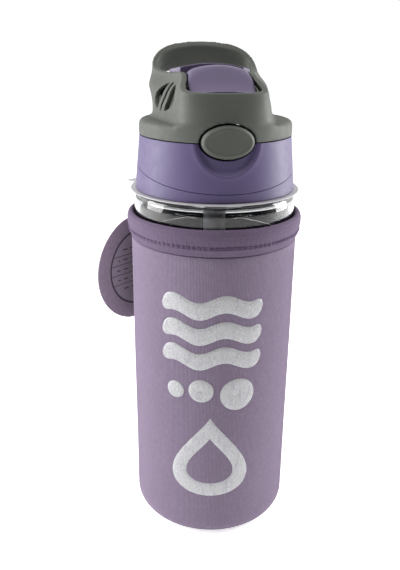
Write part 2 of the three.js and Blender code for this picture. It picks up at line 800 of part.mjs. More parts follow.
function hingePin(side) {
  const pin = cylinder(PIN_R, 4, LUG_OUT - 0.2, 16).rotate([0, 90, 0]);
  const head = cylinder(2.3, LUG_OUT + GAP, LUG_OUT + 1.2, 16).rotate([0, 90, 0]);
  const neckOfPin = cylinder(PIN_R, LUG_OUT - 1, LUG_OUT + 1, 16).rotate([0, 90, 0]);
  const whole = pin.add(neckOfPin).add(head);
  return (side > 0 ? whole : whole.rotate([0, 0, 180])).translate([0, HINGE_Y, HINGE_Z]);
}

// Three turns round the left pin, between the barrel and the cover's side.
function torsionSpring() {
  const wire = 0.35;
  const coilR = 2.6;
  const coil = helix(coilR, wire, 8.7, 0.72, 2.5, 16, 6);
  return coil.rotate([0, -90, 0]).translate([0, HINGE_Y, HINGE_Z]);
}

add("spout_arm", spoutArm(), MATERIALS.inner);
add("mouthpiece", mouthpiece(), MATERIALS.silicone);
add("spout_seal", spoutSeal(), MATERIALS.silicone);
add("spout_cover", spoutCover(), MATERIALS.purple);
add("hinge_pin_left", hingePin(-1), MATERIALS.steel);
add("hinge_pin_right", hingePin(1), MATERIALS.steel);
add("torsion_spring", torsionSpring(), MATERIALS.steel);

// ---------------------------------------------------------------- valve and straw

function ventValve() {
  const under = DECK_BOTTOM - GAP;
  const over = DECK_TOP + GAP;
  return turned(
    [
      [0, under - 0.9], [2, under - 0.9], [3, under - 0.3], [3, under], [1, under], [1, over],
      [1.8, over], [1.5, over + 0.9], [0, over + 0.9],
    ],
    20,
  ).translate([VENT_X, VENT_Y, 0]);
}

function strawSocket() {
  const top = DECK_BOTTOM - GAP;
  return turned(
    [
      [SOCKET_BORE, SOCKET_BOTTOM], [SOCKET_R + 0.5, SOCKET_BOTTOM],
      [SOCKET_R + 0.5, SOCKET_BOTTOM + 1.6], [SOCKET_R, SOCKET_BOTTOM + 2], [SOCKET_R, top],
      [SOCKET_BORE, top],
    ],
    32,
  ).translate([0, HINGE_Y, 0]);
}

function straw() {
  return tube(STRAW_R, STRAW_BORE, STRAW_BOTTOM, 159.6, 24).translate([0, HINGE_Y, 0]);
}

add("vent_valve", ventValve(), MATERIALS.silicone);
add("straw_socket", strawSocket(), MATERIALS.silicone);
add("straw", straw(), MATERIALS.silicone);

export default group;
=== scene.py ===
"""A kids water bottle around its CAD frame. Shapes are written in millimetres, in the CAD's own
frame: +Z up, the button towards -Y, and the loop towards +Y."""

import math

import bmesh
import bpy
import numpy as np
from mathutils import Matrix, Vector


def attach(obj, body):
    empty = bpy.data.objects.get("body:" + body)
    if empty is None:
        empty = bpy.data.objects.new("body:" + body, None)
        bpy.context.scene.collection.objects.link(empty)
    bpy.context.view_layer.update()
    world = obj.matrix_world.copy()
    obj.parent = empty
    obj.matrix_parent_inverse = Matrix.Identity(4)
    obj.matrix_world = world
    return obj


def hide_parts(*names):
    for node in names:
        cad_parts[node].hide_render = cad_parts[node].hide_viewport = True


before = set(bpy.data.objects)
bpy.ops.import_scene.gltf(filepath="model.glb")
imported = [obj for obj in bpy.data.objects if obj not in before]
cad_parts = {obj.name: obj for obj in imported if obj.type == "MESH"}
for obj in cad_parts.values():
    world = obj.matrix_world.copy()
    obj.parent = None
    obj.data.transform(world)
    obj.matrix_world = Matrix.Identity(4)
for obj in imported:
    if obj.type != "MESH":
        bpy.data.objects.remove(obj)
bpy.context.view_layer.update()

MM = 0.001
TAU = 2 * math.pi
FRONT = -math.pi / 2  # the button's direction, as an angle from +X
VIEW_AZIMUTH = math.radians(9.2)  # how far the camera stands to the button's left

# Sizes that the CAD also has
SLEEVE_R = 36
SLEEVE_WALL = 1.2
SLEEVE_TOP = 136
HEM_BOTTOM = 136.3
HEM_TOP = 147.5
BOTTLE_R = 34.5
BOTTLE_FLOOR = 2
SHOULDER_Z = 156.3
NECK_R = 25.8
NECK_BORE = 23.8
NECK_TOP = 168.5
COLLAR_BOTTOM = 157.3
COLLAR_TOP = 179.2
COLLAR_BOTTOM_R = 33.85
COLLAR_TOP_R = 31.75
COLLAR_WALL = 1.85
PARTING_Z = 167.6
PARTING_SLOPE = 0.2096
COVER_BOTTOM = 179.5
COVER_SHOULDER = 185.6
BUTTON_Z = 179.9
BUTTON_HALF = (10.25, 6.3)
BUTTON_GAP = 0.8
BUTTON_BACK_Y = -30.4
HINGE = (-1, 195.5)  # y and z of the spout's hinge


# ---------------------------------------------------------------- camera

LENS = 40.8
CAMERA_AT = (-44.1, -272.2, 216.35)
CAMERA_HEADING = math.radians(8.0)  # from +Y towards +X
CAMERA_PITCH = math.radians(20.9)  # downwards
CAMERA_ROLL = math.radians(0.57)


def add_camera():
    ahead = Vector((
        math.sin(CAMERA_HEADING) * math.cos(CAMERA_PITCH),
        math.cos(CAMERA_HEADING) * math.cos(CAMERA_PITCH),
        -math.sin(CAMERA_PITCH),
    ))
    level = ahead.cross(Vector((0, 0, 1))).normalized()
    above = level.cross(ahead)
    right = level * math.cos(CAMERA_ROLL) + above * math.sin(CAMERA_ROLL)
    up = above * math.cos(CAMERA_ROLL) - level * math.sin(CAMERA_ROLL)
    camera = bpy.data.objects.new("camera", bpy.data.cameras.new("camera"))
    camera.data.lens = LENS
    camera.data.clip_start = 0.01
    turn = Matrix((right, up, -ahead)).transposed().to_4x4()
    camera.matrix_world = Matrix.Translation(Vector(CAMERA_AT) * MM) @ turn
    bpy.context.scene.collection.objects.link(camera)
    bpy.context.scene.camera = camera


add_camera()


# ---------------------------------------------------------------- node materials


class Look:
    """One node material around a Principled shader."""

    def __init__(self, name, **inputs):
        self.material = bpy.data.materials.new(name)
        self.material.use_nodes = True
        self.tree = self.material.node_tree
        self.shader = self.tree.nodes["Principled BSDF"]
        for key, value in inputs.items():
            self.shader.inputs[key.replace("_", " ")].default_value = value
        self.place = self.node("ShaderNodeTexCoord").outputs["Object"]

    def node(self, kind, inputs=None, **settings):
        made = self.tree.nodes.new(kind)
        for key, value in settings.items():
            setattr(made, key, value)
        for key, value in (inputs or {}).items():
            self.feed(made.inputs[key], value)
        return made

    def feed(self, socket, value):
        if isinstance(value, bpy.types.NodeSocket):
            self.tree.links.new(value, socket)
        else:
            socket.default_value = value

    def math(self, operation, a, b=0.0):
        return self.node("ShaderNodeMath", {0: a, 1: b}, operation=operation).outputs[0]

    def scaled(self, x, y, z):
        inputs = {"Vector": self.place, "Scale": (x, y, z)}
        return self.node("ShaderNodeMapping", inputs).outputs["Vector"]

    def noise(self, scale, detail=3.0, rough=0.55, place=None):
        inputs = {
            "Vector": self.place if place is None else place,
            "Scale": scale,
            "Detail": detail,
            "Roughness": rough,
        }
        return self.node("ShaderNodeTexNoise", inputs).outputs["Fac"]

    def spread(self, value, low, high, to_low=0.0, to_high=1.0):
        inputs = {
            "Value": value, "From Min": low, "From Max": high, "To Min": to_low, "To Max": to_high,
        }
        return self.node("ShaderNodeMapRange", inputs).outputs["Result"]

    def mix(self, amount, a, b):
        made = self.node("ShaderNodeMix", {0: amount, 6: a, 7: b}, data_type="RGBA")
        return made.outputs[2]

    def bump(self, height, distance, strength=1.0, normal=None):
        inputs = {"Height": height, "Distance": distance * MM, "Strength": strength}
        if normal is not None:
            inputs["Normal"] = normal
        return self.node("ShaderNodeBump", inputs).outputs["Normal"]

    def edge_highlight(self, low=0.02, high=0.12):
        """How far a point is along a convex edge, from the surface's pointiness: the mask of a
        painted highlight on convex edges.
        """
        point = self.node("ShaderNodeNewGeometry").outputs["Pointiness"]
        return self.spread(point, 0.5 + low, 0.5 + high)

    def use(self, **sockets):
        for key, value in sockets.items():
            self.feed(self.shader.inputs[key.replace("_", " ")], value)
        return self.material


def rgb(red, green, blue):
    """A display colour, 0 to 255, as the linear colour that the shader wants."""
    def linear(c):
        c /= 255
        return c / 12.92 if c <= 0.04045 else ((c + 0.055) / 1.055) ** 2.4
    return (linear(red), linear(green), linear(blue), 1)


def moulded(name, colour, light, roughness, grain=0.012, grain_scale=2600, speck=0.25, **inputs):
    """Moulded plastic: mottled colour, a fine spark-eroded grain, and convex edges painted paler as
    a painted highlight.
    """
    look = Look(name, **inputs)
    cloud = look.noise(55, 4)
    fine = look.noise(900, 2)
    tone = look.mix(look.spread(cloud, 0.35, 0.7, 0, speck), colour, light)
    tone = look.mix(look.spread(fine, 0.45, 0.75, 0, 0.12), tone, light)
    # paler along convex edges: painted highlight
    tone = look.mix(look.math("MULTIPLY", look.edge_highlight(), 0.35), tone, light)
    grains = look.noise(grain_scale, 2, 0.6)
    flow = look.noise(140, 2)
    normal = look.bump(flow, 0.05, 0.25)
    rough = look.spread(look.noise(300, 3), 0.3, 0.7, roughness - 0.05, roughness + 0.07)
    return look.use(
        Base_Color=tone, Roughness=rough, Normal=look.bump(grains, grain, 0.5, normal),
    )


def around(look):
    """The angle about the bottle's axis, in radians, and the height in metres."""
    parts = look.node("ShaderNodeSeparateXYZ", {"Vector": look.place}).outputs
    return look.math("ARCTAN2", parts["Y"], parts["X"]), parts["Z"]


def knit(name, yarn, groove, light, ribs=376, courses=1750, sheen=0.35):
    """Knit-faced neoprene: fine wales up the sleeve, small courses across, and heather, with the
    grooves between wales painted darker as painted shade.
    """
    look = Look(name, Sheen_Weight=sheen, Sheen_Roughness=0.45, Specular_IOR_Level=0.25)
    look.shader.inputs["Sheen Tint"].default_value = light
    angle, height = around(look)
    wale = look.math("SINE", look.math("MULTIPLY", angle, float(ribs)))
    course = look.math("SINE", look.math("MULTIPLY", height, TAU * courses))
    wobble = look.noise(420, 3)
    body = look.math("ADD", look.math("MULTIPLY", wale, 0.55), look.math("MULTIPLY", course, 0.12))
    body = look.math("ADD", body, look.math("MULTIPLY", wobble, 0.8))
    depth = look.spread(body, -0.5, 1.3)
    # the darker groove colour fills the grooves between wales and courses: painted shade
    tone = look.mix(depth, groove, yarn)
    heather = look.noise(1500, 2, 0.7, look.scaled(1, 1, 0.35))
    tone = look.mix(look.spread(heather, 0.5, 0.75, 0, 0.4), tone, light)
    cloud = look.noise(28, 3)
    tone = look.mix(look.spread(cloud, 0.35, 0.7, 0, 0.1), tone, groove)
    from_axis = look.node(
        "ShaderNodeVectorMath", {0: look.node(
            "ShaderNodeVectorMath", {0: look.place, 1: (1, 1, 0)}, operation="MULTIPLY",
        ).outputs[0]}, operation="LENGTH",
    ).outputs["Value"]
    lining = look.math("LESS_THAN", from_axis, (SLEEVE_R - 0.9) * MM)
    low = look.math("GREATER_THAN", height, 0.0017)
    tone = look.mix(look.math("MULTIPLY", lining, low), tone, rgb(30, 27, 34))
    normal = look.bump(wobble, 0.12, 0.4)
    rough = look.spread(heather, 0.3, 0.8, 0.8, 0.95)
    return look.use(Base_Color=tone, Roughness=rough, Normal=look.bump(body, 0.1, 0.7, normal))


def reflective_print():
    """Silver-grey heat-set print: metal flake in a clear binder, cracked a little by the ribs."""
    look = Look("reflective_print", Metallic=0.25, Specular_IOR_Level=0.6)
    flake = look.noise(2600, 2, 0.7)
    weave = look.noise(650, 3, 0.6, look.scaled(1, 1, 0.3))
    tone = look.mix(look.spread(flake, 0.35, 0.7), rgb(142, 142, 145), rgb(200, 200, 203))
    tone = look.mix(look.spread(weave, 0.52, 0.75, 0, 0.55), tone, rgb(132, 128, 140))
    angle = around(look)[0]
    wale = look.math("SINE", look.math("MULTIPLY", angle, 376.0))
    normal = look.bump(wale, 0.05, 0.35)
    rough = look.spread(flake, 0.3, 0.7, 0.36, 0.62)
    return look.use(Base_Color=tone, Roughness=rough, Normal=look.bump(flake, 0.03, 0.6, normal))


def clear_plastic():
    look = Look(
        "clear_plastic", Transmission_Weight=1.0, IOR=1.5, Base_Color=(0.94, 0.955, 0.96, 1),
    )
    wave = look.noise(45, 2, 0.5, look.scaled(1, 1, 0.5))
    rough = look.spread(look.noise(120, 3), 0.3, 0.8, 0.015, 0.07)
    return look.use(Roughness=rough, Normal=look.bump(wave, 0.6, 0.5))


def cloudy_plastic(name, colour, transmission=0.55, roughness=0.35):
    look = Look(name, Transmission_Weight=transmission, IOR=1.45)
    tone = look.mix(look.spread(look.noise(90, 3), 0.3, 0.7, 0, 0.5), colour, (0.8, 0.8, 0.82, 1))
    rough = look.spread(look.noise(500, 2), 0.3, 0.7, roughness - 0.08, roughness + 0.1)
    return look.use(
        Base_Color=tone, Roughness=rough, Normal=look.bump(look.noise(800, 2), 0.02, 0.4),
    )


def steel():
    look = Look("steel", Metallic=1.0)
    lines = look.noise(1200, 2, 0.6, look.scaled(0.2, 1, 1))
    tone = look.mix(look.spread(lines, 0.3, 0.7), rgb(150, 152, 156), rgb(205, 207, 210))
    rough = look.spread(lines, 0.3, 0.7, 0.22, 0.4)
    return look.use(Base_Color=tone, Roughness=rough, Normal=look.bump(lines, 0.01, 0.5))


PURPLE = rgb(79, 68, 106)
PURPLE_LIGHT = rgb(90, 79, 118)
# the slide and rear wall are the collar's purple plastic with their own albedo, set to balance the
# top light on their upward faces: painted light
SLIDE_PURPLE = rgb(90, 79, 108)
SLIDE_LIGHT = rgb(103, 92, 121)

purple = moulded("purple_plastic", PURPLE, PURPLE_LIGHT, 0.5, grain=0.008)
slide_purple = moulded("slide_plastic", SLIDE_PURPLE, SLIDE_LIGHT, 0.42, grain=0.008)
grey = moulded("grey_soft_touch", rgb(71, 74, 68), rgb(84, 87, 80), 0.62, grain=0.016)
hidden = moulded("shadow_plastic", rgb(22, 20, 26), rgb(32, 29, 36), 0.85)
# the lid's inner parts are darkened so the gaps round the slide and button read black: painted
# shade
inner = moulded("inner_plastic", rgb(58, 52, 68), rgb(84, 76, 98), 0.42)
# each knit's second colour is its groove colour: painted shade in the grooves
fabric = knit("neoprene_knit", rgb(129, 115, 136), rgb(108, 96, 115), rgb(148, 136, 156))
hem_fabric = knit(
    "neoprene_hem", rgb(102, 87, 109), rgb(86, 73, 94), rgb(116, 102, 124), courses=700,
)
thread = knit("stitch_thread", rgb(112, 90, 124), rgb(62, 46, 74), rgb(168, 150, 180), ribs=900)
silver = reflective_print()
clear = clear_plastic()
straw_plastic = cloudy_plastic("straw_plastic", rgb(214, 214, 224), transmission=0.3)
silicone = cloudy_plastic("silicone", rgb(225, 225, 222), 0.3, 0.45)
wire = steel()


# ---------------------------------------------------------------- mesh helpers


def piece(name, points, faces, material, body, sharp=None):
    """A new object from points in millimetres, riding on a body."""
    mesh = bpy.data.meshes.new(name)
    mesh.from_pydata((np.asarray(points, dtype=float) * MM).tolist(), [], faces)
    mesh.shade_smooth()
    obj = bpy.data.objects.new(name, mesh)
    bpy.context.scene.collection.objects.link(obj)
    if sharp is not None:
        tidy_mesh(obj)
        obj.data.set_sharp_from_angle(angle=math.radians(sharp))
    if material is not None:
        obj.data.materials.append(material)
    if body is not None:
        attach(obj, body)
    return obj


def tidy_mesh(obj):
    """Merges doubled points and turns the faces outwards."""
    bm = bmesh.new()
    bm.from_mesh(obj.data)
    bmesh.ops.remove_doubles(bm, verts=bm.verts, dist=1e-6)
    bmesh.ops.dissolve_degenerate(bm, edges=bm.edges, dist=1e-7)
    bmesh.ops.recalc_face_normals(bm, faces=bm.faces)
    bm.to_mesh(obj.data)
    bm.free()


def sheet_faces(rows, columns, close_rows=False, close_columns=False):
    """Four-sided faces over a grid of points listed row by row."""
    faces = []
    for r in range(rows if close_rows else rows - 1):
        for c in range(columns if close_columns else columns - 1):
            r2, c2 = (r + 1) % rows, (c + 1) % columns
            faces.append((r * columns + c, r * columns + c2, r2 * columns + c2, r2 * columns + c))
    return faces


def two_sided(top, under):
    """Points and faces of a sheet from its upper and lower grids, closed round the rim."""
    rows, columns = top.shape[:2]
    count = rows * columns
    front = sheet_faces(rows, columns)
    back = [tuple(v + count for v in reversed(face)) for face in front]
    rim = list(range(columns))
    rim += [r * columns + columns - 1 for r in range(1, rows)]
    rim += [(rows - 1) * columns + c for c in reversed(range(columns - 1))]
    rim += [r * columns for r in reversed(range(1, rows - 1))]
    edge = [(a, b, b + count, a + count) for a, b in zip(rim, rim[1:] + rim[:1])]
    return np.concatenate((top.reshape(-1, 3), under.reshape(-1, 3))), front + back + edge


def rounded(corners, steps=5):
    """An outline whose corners (x, y, radius) are turned into arcs."""
    outline = []
    count = len(corners)
    for i, (x, y, radius) in enumerate(corners):
        here = np.array((x, y), dtype=float)
        if not radius:
            outline.append(here)
            continue
        back = np.array(corners[i - 1][:2], dtype=float) - here
        ahead = np.array(corners[(i + 1) % count][:2], dtype=float) - here
        back_length, ahead_length = np.linalg.norm(back), np.linalg.norm(ahead)
        back /= back_length
        ahead /= ahead_length
        half = math.acos(np.clip(back @ ahead, -1, 1)) / 2
        reach = min(radius / math.tan(half), 0.49 * back_length, 0.49 * ahead_length)
        for t in np.linspace(0, 1, steps + 1):
            outline.append(here + back * reach * (1 - t) ** 2 + ahead * reach * t ** 2)
    return np.array(outline)


def turned(name, corners, material, body, segments=128, centre=(0, 0), bumps=None, sharp=40):
    """A turned piece from a closed outline of (radius, height, rounding) corners."""
    outline = rounded(corners)
    angles = np.arange(segments) * TAU / segments
    radius = np.repeat(outline[:, 0], segments)
    height = np.repeat(outline[:, 1], segments)
    angle = np.tile(angles, len(outline))
    if bumps is not None:
        radius, height = bumps(angle, radius, height)
    points = np.stack(
        (centre[0] + radius * np.cos(angle), centre[1] + radius * np.sin(angle), height), axis=1,
    )
    faces = sheet_faces(len(outline), segments, close_rows=True, close_columns=True)
    return piece(name, points, faces, material, body, sharp)


def wire_along(name, path, radius, material, body, sides=8, closed=False):
    """A round wire along a list of points."""
    path = np.asarray(path, dtype=float)
    if closed:
        ahead = np.roll(path, -1, axis=0) - np.roll(path, 1, axis=0)
    else:
        ahead = np.gradient(path, axis=0)
    ahead /= np.linalg.norm(ahead, axis=1, keepdims=True)
    reference = np.tile((0.0, 0.0, 1.0), (len(path), 1))
    steep = np.abs(ahead[:, 2]) > 0.95
    reference[steep] = (1.0, 0.0, 0.0)
    side = np.cross(ahead, reference)
    side /= np.linalg.norm(side, axis=1, keepdims=True)
    over = np.cross(side, ahead)
    turn = np.arange(sides) * TAU / sides
    rings = (
        path[:, None, :]
        + radius * np.cos(turn)[None, :, None] * side[:, None, :]
        + radius * np.sin(turn)[None, :, None] * over[:, None, :]
    )
    faces = sheet_faces(len(path), sides, close_rows=closed, close_columns=True)
    if not closed:
        faces.append(tuple(range(sides)))
        faces.append(tuple(reversed(range((len(path) - 1) * sides, len(path) * sides))))
    return piece(name, rings.reshape(-1, 3), faces, material, body, 60)


def helix(radius, bottom, pitch, turns, steps, start=0.0):
    t = np.linspace(0, 1, int(turns * steps) + 1)
    angle = start + t * turns * TAU
    return np.stack(
        (radius * np.cos(angle), radius * np.sin(angle), bottom + t * turns * pitch), axis=1,
    )


def baked(obj):
    """Applies an object's modifiers."""
    shown = obj.evaluated_get(bpy.context.evaluated_depsgraph_get())
    mesh = bpy.data.meshes.new_from_object(shown)
    obj.modifiers.clear()
    obj.data = mesh
    return obj


def combine(obj, tool, operation):
    """A boolean with a tool, which is used up."""
    step = obj.modifiers.new("boolean", "BOOLEAN")
    step.operation = operation
    step.solver = "EXACT"
    step.object = tool
    baked(obj)
    bpy.data.objects.remove(tool)
    return obj


def soften(obj, voxel, rounds, material):
    """Rounds every edge by a fine remesh and smoothing, and leaves the piece one material."""
    remesh = obj.modifiers.new("remesh", "REMESH")
    remesh.mode = "VOXEL"
    remesh.voxel_size = voxel * MM
    smooth = obj.modifiers.new("smooth", "SMOOTH")
    smooth.factor = 0.5
    smooth.iterations = rounds
    baked(obj)
    obj.data.shade_smooth()
    obj.data.materials.clear()
    obj.data.materials.append(material)


def prism(outline, low, high, axis):
    """A straight solid tool: an outline of two coordinates, pushed along an axis."""
    outline = np.asarray(outline, dtype=float)
    count = len(outline)
    ends = []
    for value in (low, high):
        columns = [outline[:, 0], outline[:, 1]]
        columns.insert("xyz".index(axis), np.full(count, float(value)))
        ends.append(np.stack(columns, axis=1))
    faces = [(i, (i + 1) % count, count + (i + 1) % count, count + i) for i in range(count)]
    faces += [tuple(reversed(range(count))), tuple(range(count, 2 * count))]
    obj = piece("tool", np.concatenate(ends), faces, None, None)
    tidy_mesh(obj)
    return obj


def oval(half_x, half_y, x=0.0, y=0.0, count=64):
    angle = np.arange(count) * TAU / count
    return np.stack((x + half_x * np.cos(angle), y + half_y * np.sin(angle)), axis=1)


def smoothstep(low, high, value):
    t = np.clip((value - low) / (high - low), 0, 1)
    return t * t * (3 - 2 * t)


def spline(points, count):
    """A smooth line through points, by Catmull and Rom's rule."""
    points = np.asarray(points, dtype=float)
    padded = np.concatenate((2 * points[:1] - points[1:2], points, 2 * points[-1:] - points[-2:-1]))
    places = np.linspace(0, len(points) - 1, count)
    start = np.minimum(places.astype(int), len(points) - 2)
    t = (places - start)[:, None]
    before, here, after, beyond = (padded[start + k] for k in range(4))
    return 0.5 * (
        2 * here
        + (after - before) * t
        + (2 * before - 5 * here + 4 * after - beyond) * t ** 2
        + (3 * here - before - 3 * after + beyond) * t ** 3
    )


# ---------------------------------------------------------------- sleeve

RIBS = 376
SEAM_AT = math.radians(62)  # the sleeve's closing seam, at the back right
SEAM_HALF = math.radians(2.4)
STITCH_Z = 140.3
STITCHES = 108


def angle_from(angle, centre):
    return np.abs((angle - centre + math.pi) % TAU - math.pi)


def sleeve_surface(angle, radius, height):
    """Ribs, the closing seam, and the slight hollows of stretched fabric."""
    outer = radius > SLEEVE_R - SLEEVE_WALL / 2
    side = outer & (height > 5)
    fade = smoothstep(4, 10, height) * (1 - smoothstep(133, 135.5, height))
    ribs = 0.035 * np.sin(RIBS * angle) * fade
    sag = 0.12 * np.sin(3 * angle + 0.6) * np.sin(height / 19) * fade
    seam = 0.35 * (1 - smoothstep(SEAM_HALF * 0.7, SEAM_HALF, angle_from(angle, SEAM_AT))) * fade
    valley = 0.3 * (1 - smoothstep(0, SEAM_HALF * 0.25, angle_from(angle, SEAM_AT))) * fade
    return radius + np.where(side, ribs + sag + seam - valley, 0), height


def sleeve_outline():
    """The sleeve's wall, up the outside and down the inside."""
    edge = SLEEVE_R - 6
    arc = np.linspace(-90, 0, 12)
    up = [(edge + 6 * math.cos(math.radians(a)), 6 + 6 * math.sin(math.radians(a))) for a in arc]
    up += [(SLEEVE_R, z) for z in np.linspace(9, SLEEVE_TOP - 0.4, 40)]
    up += [(SLEEVE_R - 0.3, SLEEVE_TOP), (SLEEVE_R - SLEEVE_WALL + 0.2, SLEEVE_TOP)]
    thin = 6 - SLEEVE_WALL
    down = [(SLEEVE_R - SLEEVE_WALL, z) for z in (SLEEVE_TOP - 0.5, 90, 40)]
    down += [
        (edge + thin * math.cos(math.radians(a)), 6 + thin * math.sin(math.radians(a)))
        for a in arc[::-3]
    ]
    return [(r, z, 0) for r, z in up + down]


def make_sleeve():
    tube = turned(
        "sleeve_knit", sleeve_outline(), fabric, "sleeve", segments=RIBS * 4,
        bumps=sleeve_surface, sharp=80,
    )
    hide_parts("sleeve_body")
    floor = turned(
        "sleeve_bottom",
        [(0, 0.05, 0), (27.6, 0, 0), (28.4, 0.35, 0.4), (29.3, 0, 0.3), (29.7, 0.4, 0.2),
         (29.6, 1.6, 0.3), (28.4, 1.3, 0.3), (27, 1.65, 0.3), (0, 1.65, 0)],
        fabric, "sleeve", segments=96,
    )
    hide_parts("sleeve_base")


def hem_surface(angle, radius, height):
    """Puckers under each stitch, and a roll that isn't quite even."""
    outer = (radius > 36.1) & (height < 146.6)
    line = np.exp(-((height - STITCH_Z) / 0.8) ** 2)
    pucker = 0.5 + 0.5 * np.cos(STITCHES * angle)
    dent = 0.5 * line * (0.35 + 0.65 * pucker)
    swell = 0.16 * np.sin(5 * angle + 1) + 0.1 * np.sin(11 * angle + 2.2)
    gather = 0.05 * np.sin(STITCHES * angle) * np.exp(-((height - STITCH_Z - 1.6) / 1.6) ** 2)
    wander = 0.12 * np.sin(4 * angle) * smoothstep(144, 147, height)
    return radius + np.where(outer, -dent + swell * 0.5 + gather, 0), height - np.abs(wander)


def make_hem():
    wall = SLEEVE_R - SLEEVE_WALL
    outline = [
        (wall, HEM_BOTTOM, 0), (36.02, HEM_BOTTOM, 0), (36.4, 137.4, 0.8), (37.15, 138.9, 0.8),
        (37.4, 139.3, 0.3), (37.35, 139.8, 0), (37.35, 140.3, 0), (37.4, 140.8, 0),
        (37.5, 141.4, 0.3), (37.8, 143, 0.6), (37.85, 145, 1), (37.3, 146.6, 1),
        (36.2, HEM_TOP, 0.8), (35.2, 147.2, 0.6), (wall, 146.3, 0.5),
    ]
    hem = turned(
        "sleeve_rolled_hem", outline, hem_fabric, "sleeve", segments=STITCHES * 6,
        bumps=hem_surface, sharp=80,
    )
    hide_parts("sleeve_hem")


def zigzag(name, count, radius_at, z_at, swing, body="sleeve"):
    """A zigzag seam round the sleeve: each stitch dives into the fabric at its two ends."""
    steps = 6
    t = np.arange(count * steps) / steps
    angle = t * TAU / count
    phase = t % 2
    height = z_at + swing * (1 - 2 * np.abs(phase - 1))
    lift = 0.5 * np.sin(math.pi * t) ** 2 - 0.26
    radius = radius_at + lift
    path = np.stack((radius * np.cos(angle), radius * np.sin(angle), height), axis=1)
    stitch = wire_along(name, path, 0.24, thread, body, sides=6, closed=True)
    return stitch


def seam_stitches():
    """The flatlock zigzag up the closing seam."""
    count = 58
    steps = 6
    t = np.arange(count * steps + 1) / steps
    swing = (1 - 2 * np.abs(t % 2 - 1)) * SEAM_HALF * 0.62
    lift = 0.26 * np.abs(np.sin(math.pi * t)) ** 0.7 - 0.1
    angle = SEAM_AT + swing
    radius = SLEEVE_R + 0.3 + lift
    height = np.linspace(11, 133, len(t))
    path = np.stack((radius * np.cos(angle), radius * np.sin(angle), height), axis=1)
    stitch = wire_along("seam_stitching", path, 0.17, thread, "sleeve", sides=6)


make_sleeve()
make_hem()
zigzag("hem_stitching", STITCHES, 37.15, STITCH_Z, 0.3)
seam_stitches()


# ---------------------------------------------------------------- print on the sleeve

PRINT_HALF = 22
PRINT_R = SLEEVE_R + 0.02
PRINT_PROUD = 0.16
PRINT_AT = FRONT - VIEW_AZIMUTH


def on_sleeve(across, height, lift=0.0):
    """A point of the print: across is measured along the sleeve's surface."""
    angle = PRINT_AT + across / SLEEVE_R
    radius = PRINT_R + lift
    return np.stack((radius * np.cos(angle), radius * np.sin(angle), height), axis=-1)


def printed(name, low, high, closed=False):
    """A motif between two lines of (across, height) points, laid on the sleeve."""
    low, high = np.asarray(low, dtype=float), np.asarray(high, dtype=float)
    weights = np.array((0, 0.04, 0.35, 0.65, 0.96, 1))
    lifts = PRINT_PROUD * np.array((0.1, 1, 1, 1, 1, 0.1))
    rows = []
    for weight, lift in zip(weights, lifts):
        flat = low * (1 - weight) + high * weight
        rows.append(on_sleeve(flat[:, 0], flat[:, 1], lift))
    for weight in (1, 0.5, 0):
        flat = low * (1 - weight) + high * weight
        rows.append(on_sleeve(flat[:, 0], flat[:, 1], -0.25))
    count = len(low)
    faces = sheet_faces(len(rows), count, close_rows=True, close_columns=closed)
    if not closed:
        faces.append(tuple(r * count for r in range(len(rows))))
        faces.append(tuple(r * count + count - 1 for r in reversed(range(len(rows)))))
    motif = piece(name, np.concatenate(rows), faces, silver, "sleeve", 50)


def wave_band(name, middle, thickness, swing, waves, half):
    """A horizontal wave with round ends."""
    across = np.linspace(-half, half, 121)
    centre = middle + swing * np.sin(across / half * math.pi * waves)
    end = np.sqrt(np.clip(1 - ((np.abs(across) - half + 3.4) / 3.4).clip(0) ** 2, 0.0, 1))
    reach = np.maximum(thickness / 2 * end, 0.02)
    printed(name, np.stack((across, centre - reach), 1), np.stack((across, centre + reach), 1))


def drop_outline(width, bottom, top, count=128):
    """A water drop with its point at the top."""
    angle = np.arange(count) * TAU / count
    across = width * np.sin(angle) * np.sin(angle / 2) ** 1.5 * 1.3
    height = (top + bottom) / 2 + (top - bottom) / 2 * np.cos(angle)
    return np.stack((across, height), axis=1)


def disc(name, across, middle, radius):
    edge = oval(radius, radius, across, middle, 48)
    centre = oval(0.03, 0.03, across, middle, 48)
    printed(name, centre, edge, closed=True)


def make_print():
    for name, middle in (("top", 114.6), ("middle", 103.2), ("low", 91.8)):
        wave_band("print_wave_" + name, middle, 7.6, 1.7, 2, PRINT_HALF)
    disc("print_bubble_small", -15.6, 75.6, 4.0)
    disc("print_bubble_middle", -4.2, 76.4, 5.4)
    disc("print_bubble_large", 11.6, 74.4, 7.6)
    outer = drop_outline(19, 22.5, 63.5)
    inside = drop_outline(11.4, 29.5, 53)
    printed("print_drop", inside, outer, closed=True)


make_print()


# ---------------------------------------------------------------- bottle, straw and its socket


def make_bottle():
    wall = BOTTLE_R - 2
    outline = [
        (0, 5, 0), (14, 4, 0), (24, 2.4, 3), (29.6, BOTTLE_FLOOR, 1), (BOTTLE_R, 3.6, 3),
        (BOTTLE_R, 60, 0), (BOTTLE_R, 140, 0), (BOTTLE_R, 152, 4), (33.4, SHOULDER_Z, 2.4),
        (NECK_R + 1.6, SHOULDER_Z, 1), (NECK_R, 158, 1), (NECK_R, NECK_TOP, 0.5),
        (NECK_BORE, NECK_TOP, 0.5), (NECK_BORE, 154.4, 1.5), (wall, 154.4, 3.4),
        (wall, 60, 0), (wall, 12, 0), (wall - 1, 5.6, 4), (24, 5, 3), (14, 6.2, 0), (0, 7.2, 0),
    ]
    bottle = turned("bottle_clear", outline, clear, "bottle", segments=160)
    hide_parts("bottle_shell")
    ridge = wire_along(
        "bottle_thread", helix(NECK_R + 0.1, 160.2, 4, 1.5, 72), 0.75, clear, "bottle", sides=10,
    )


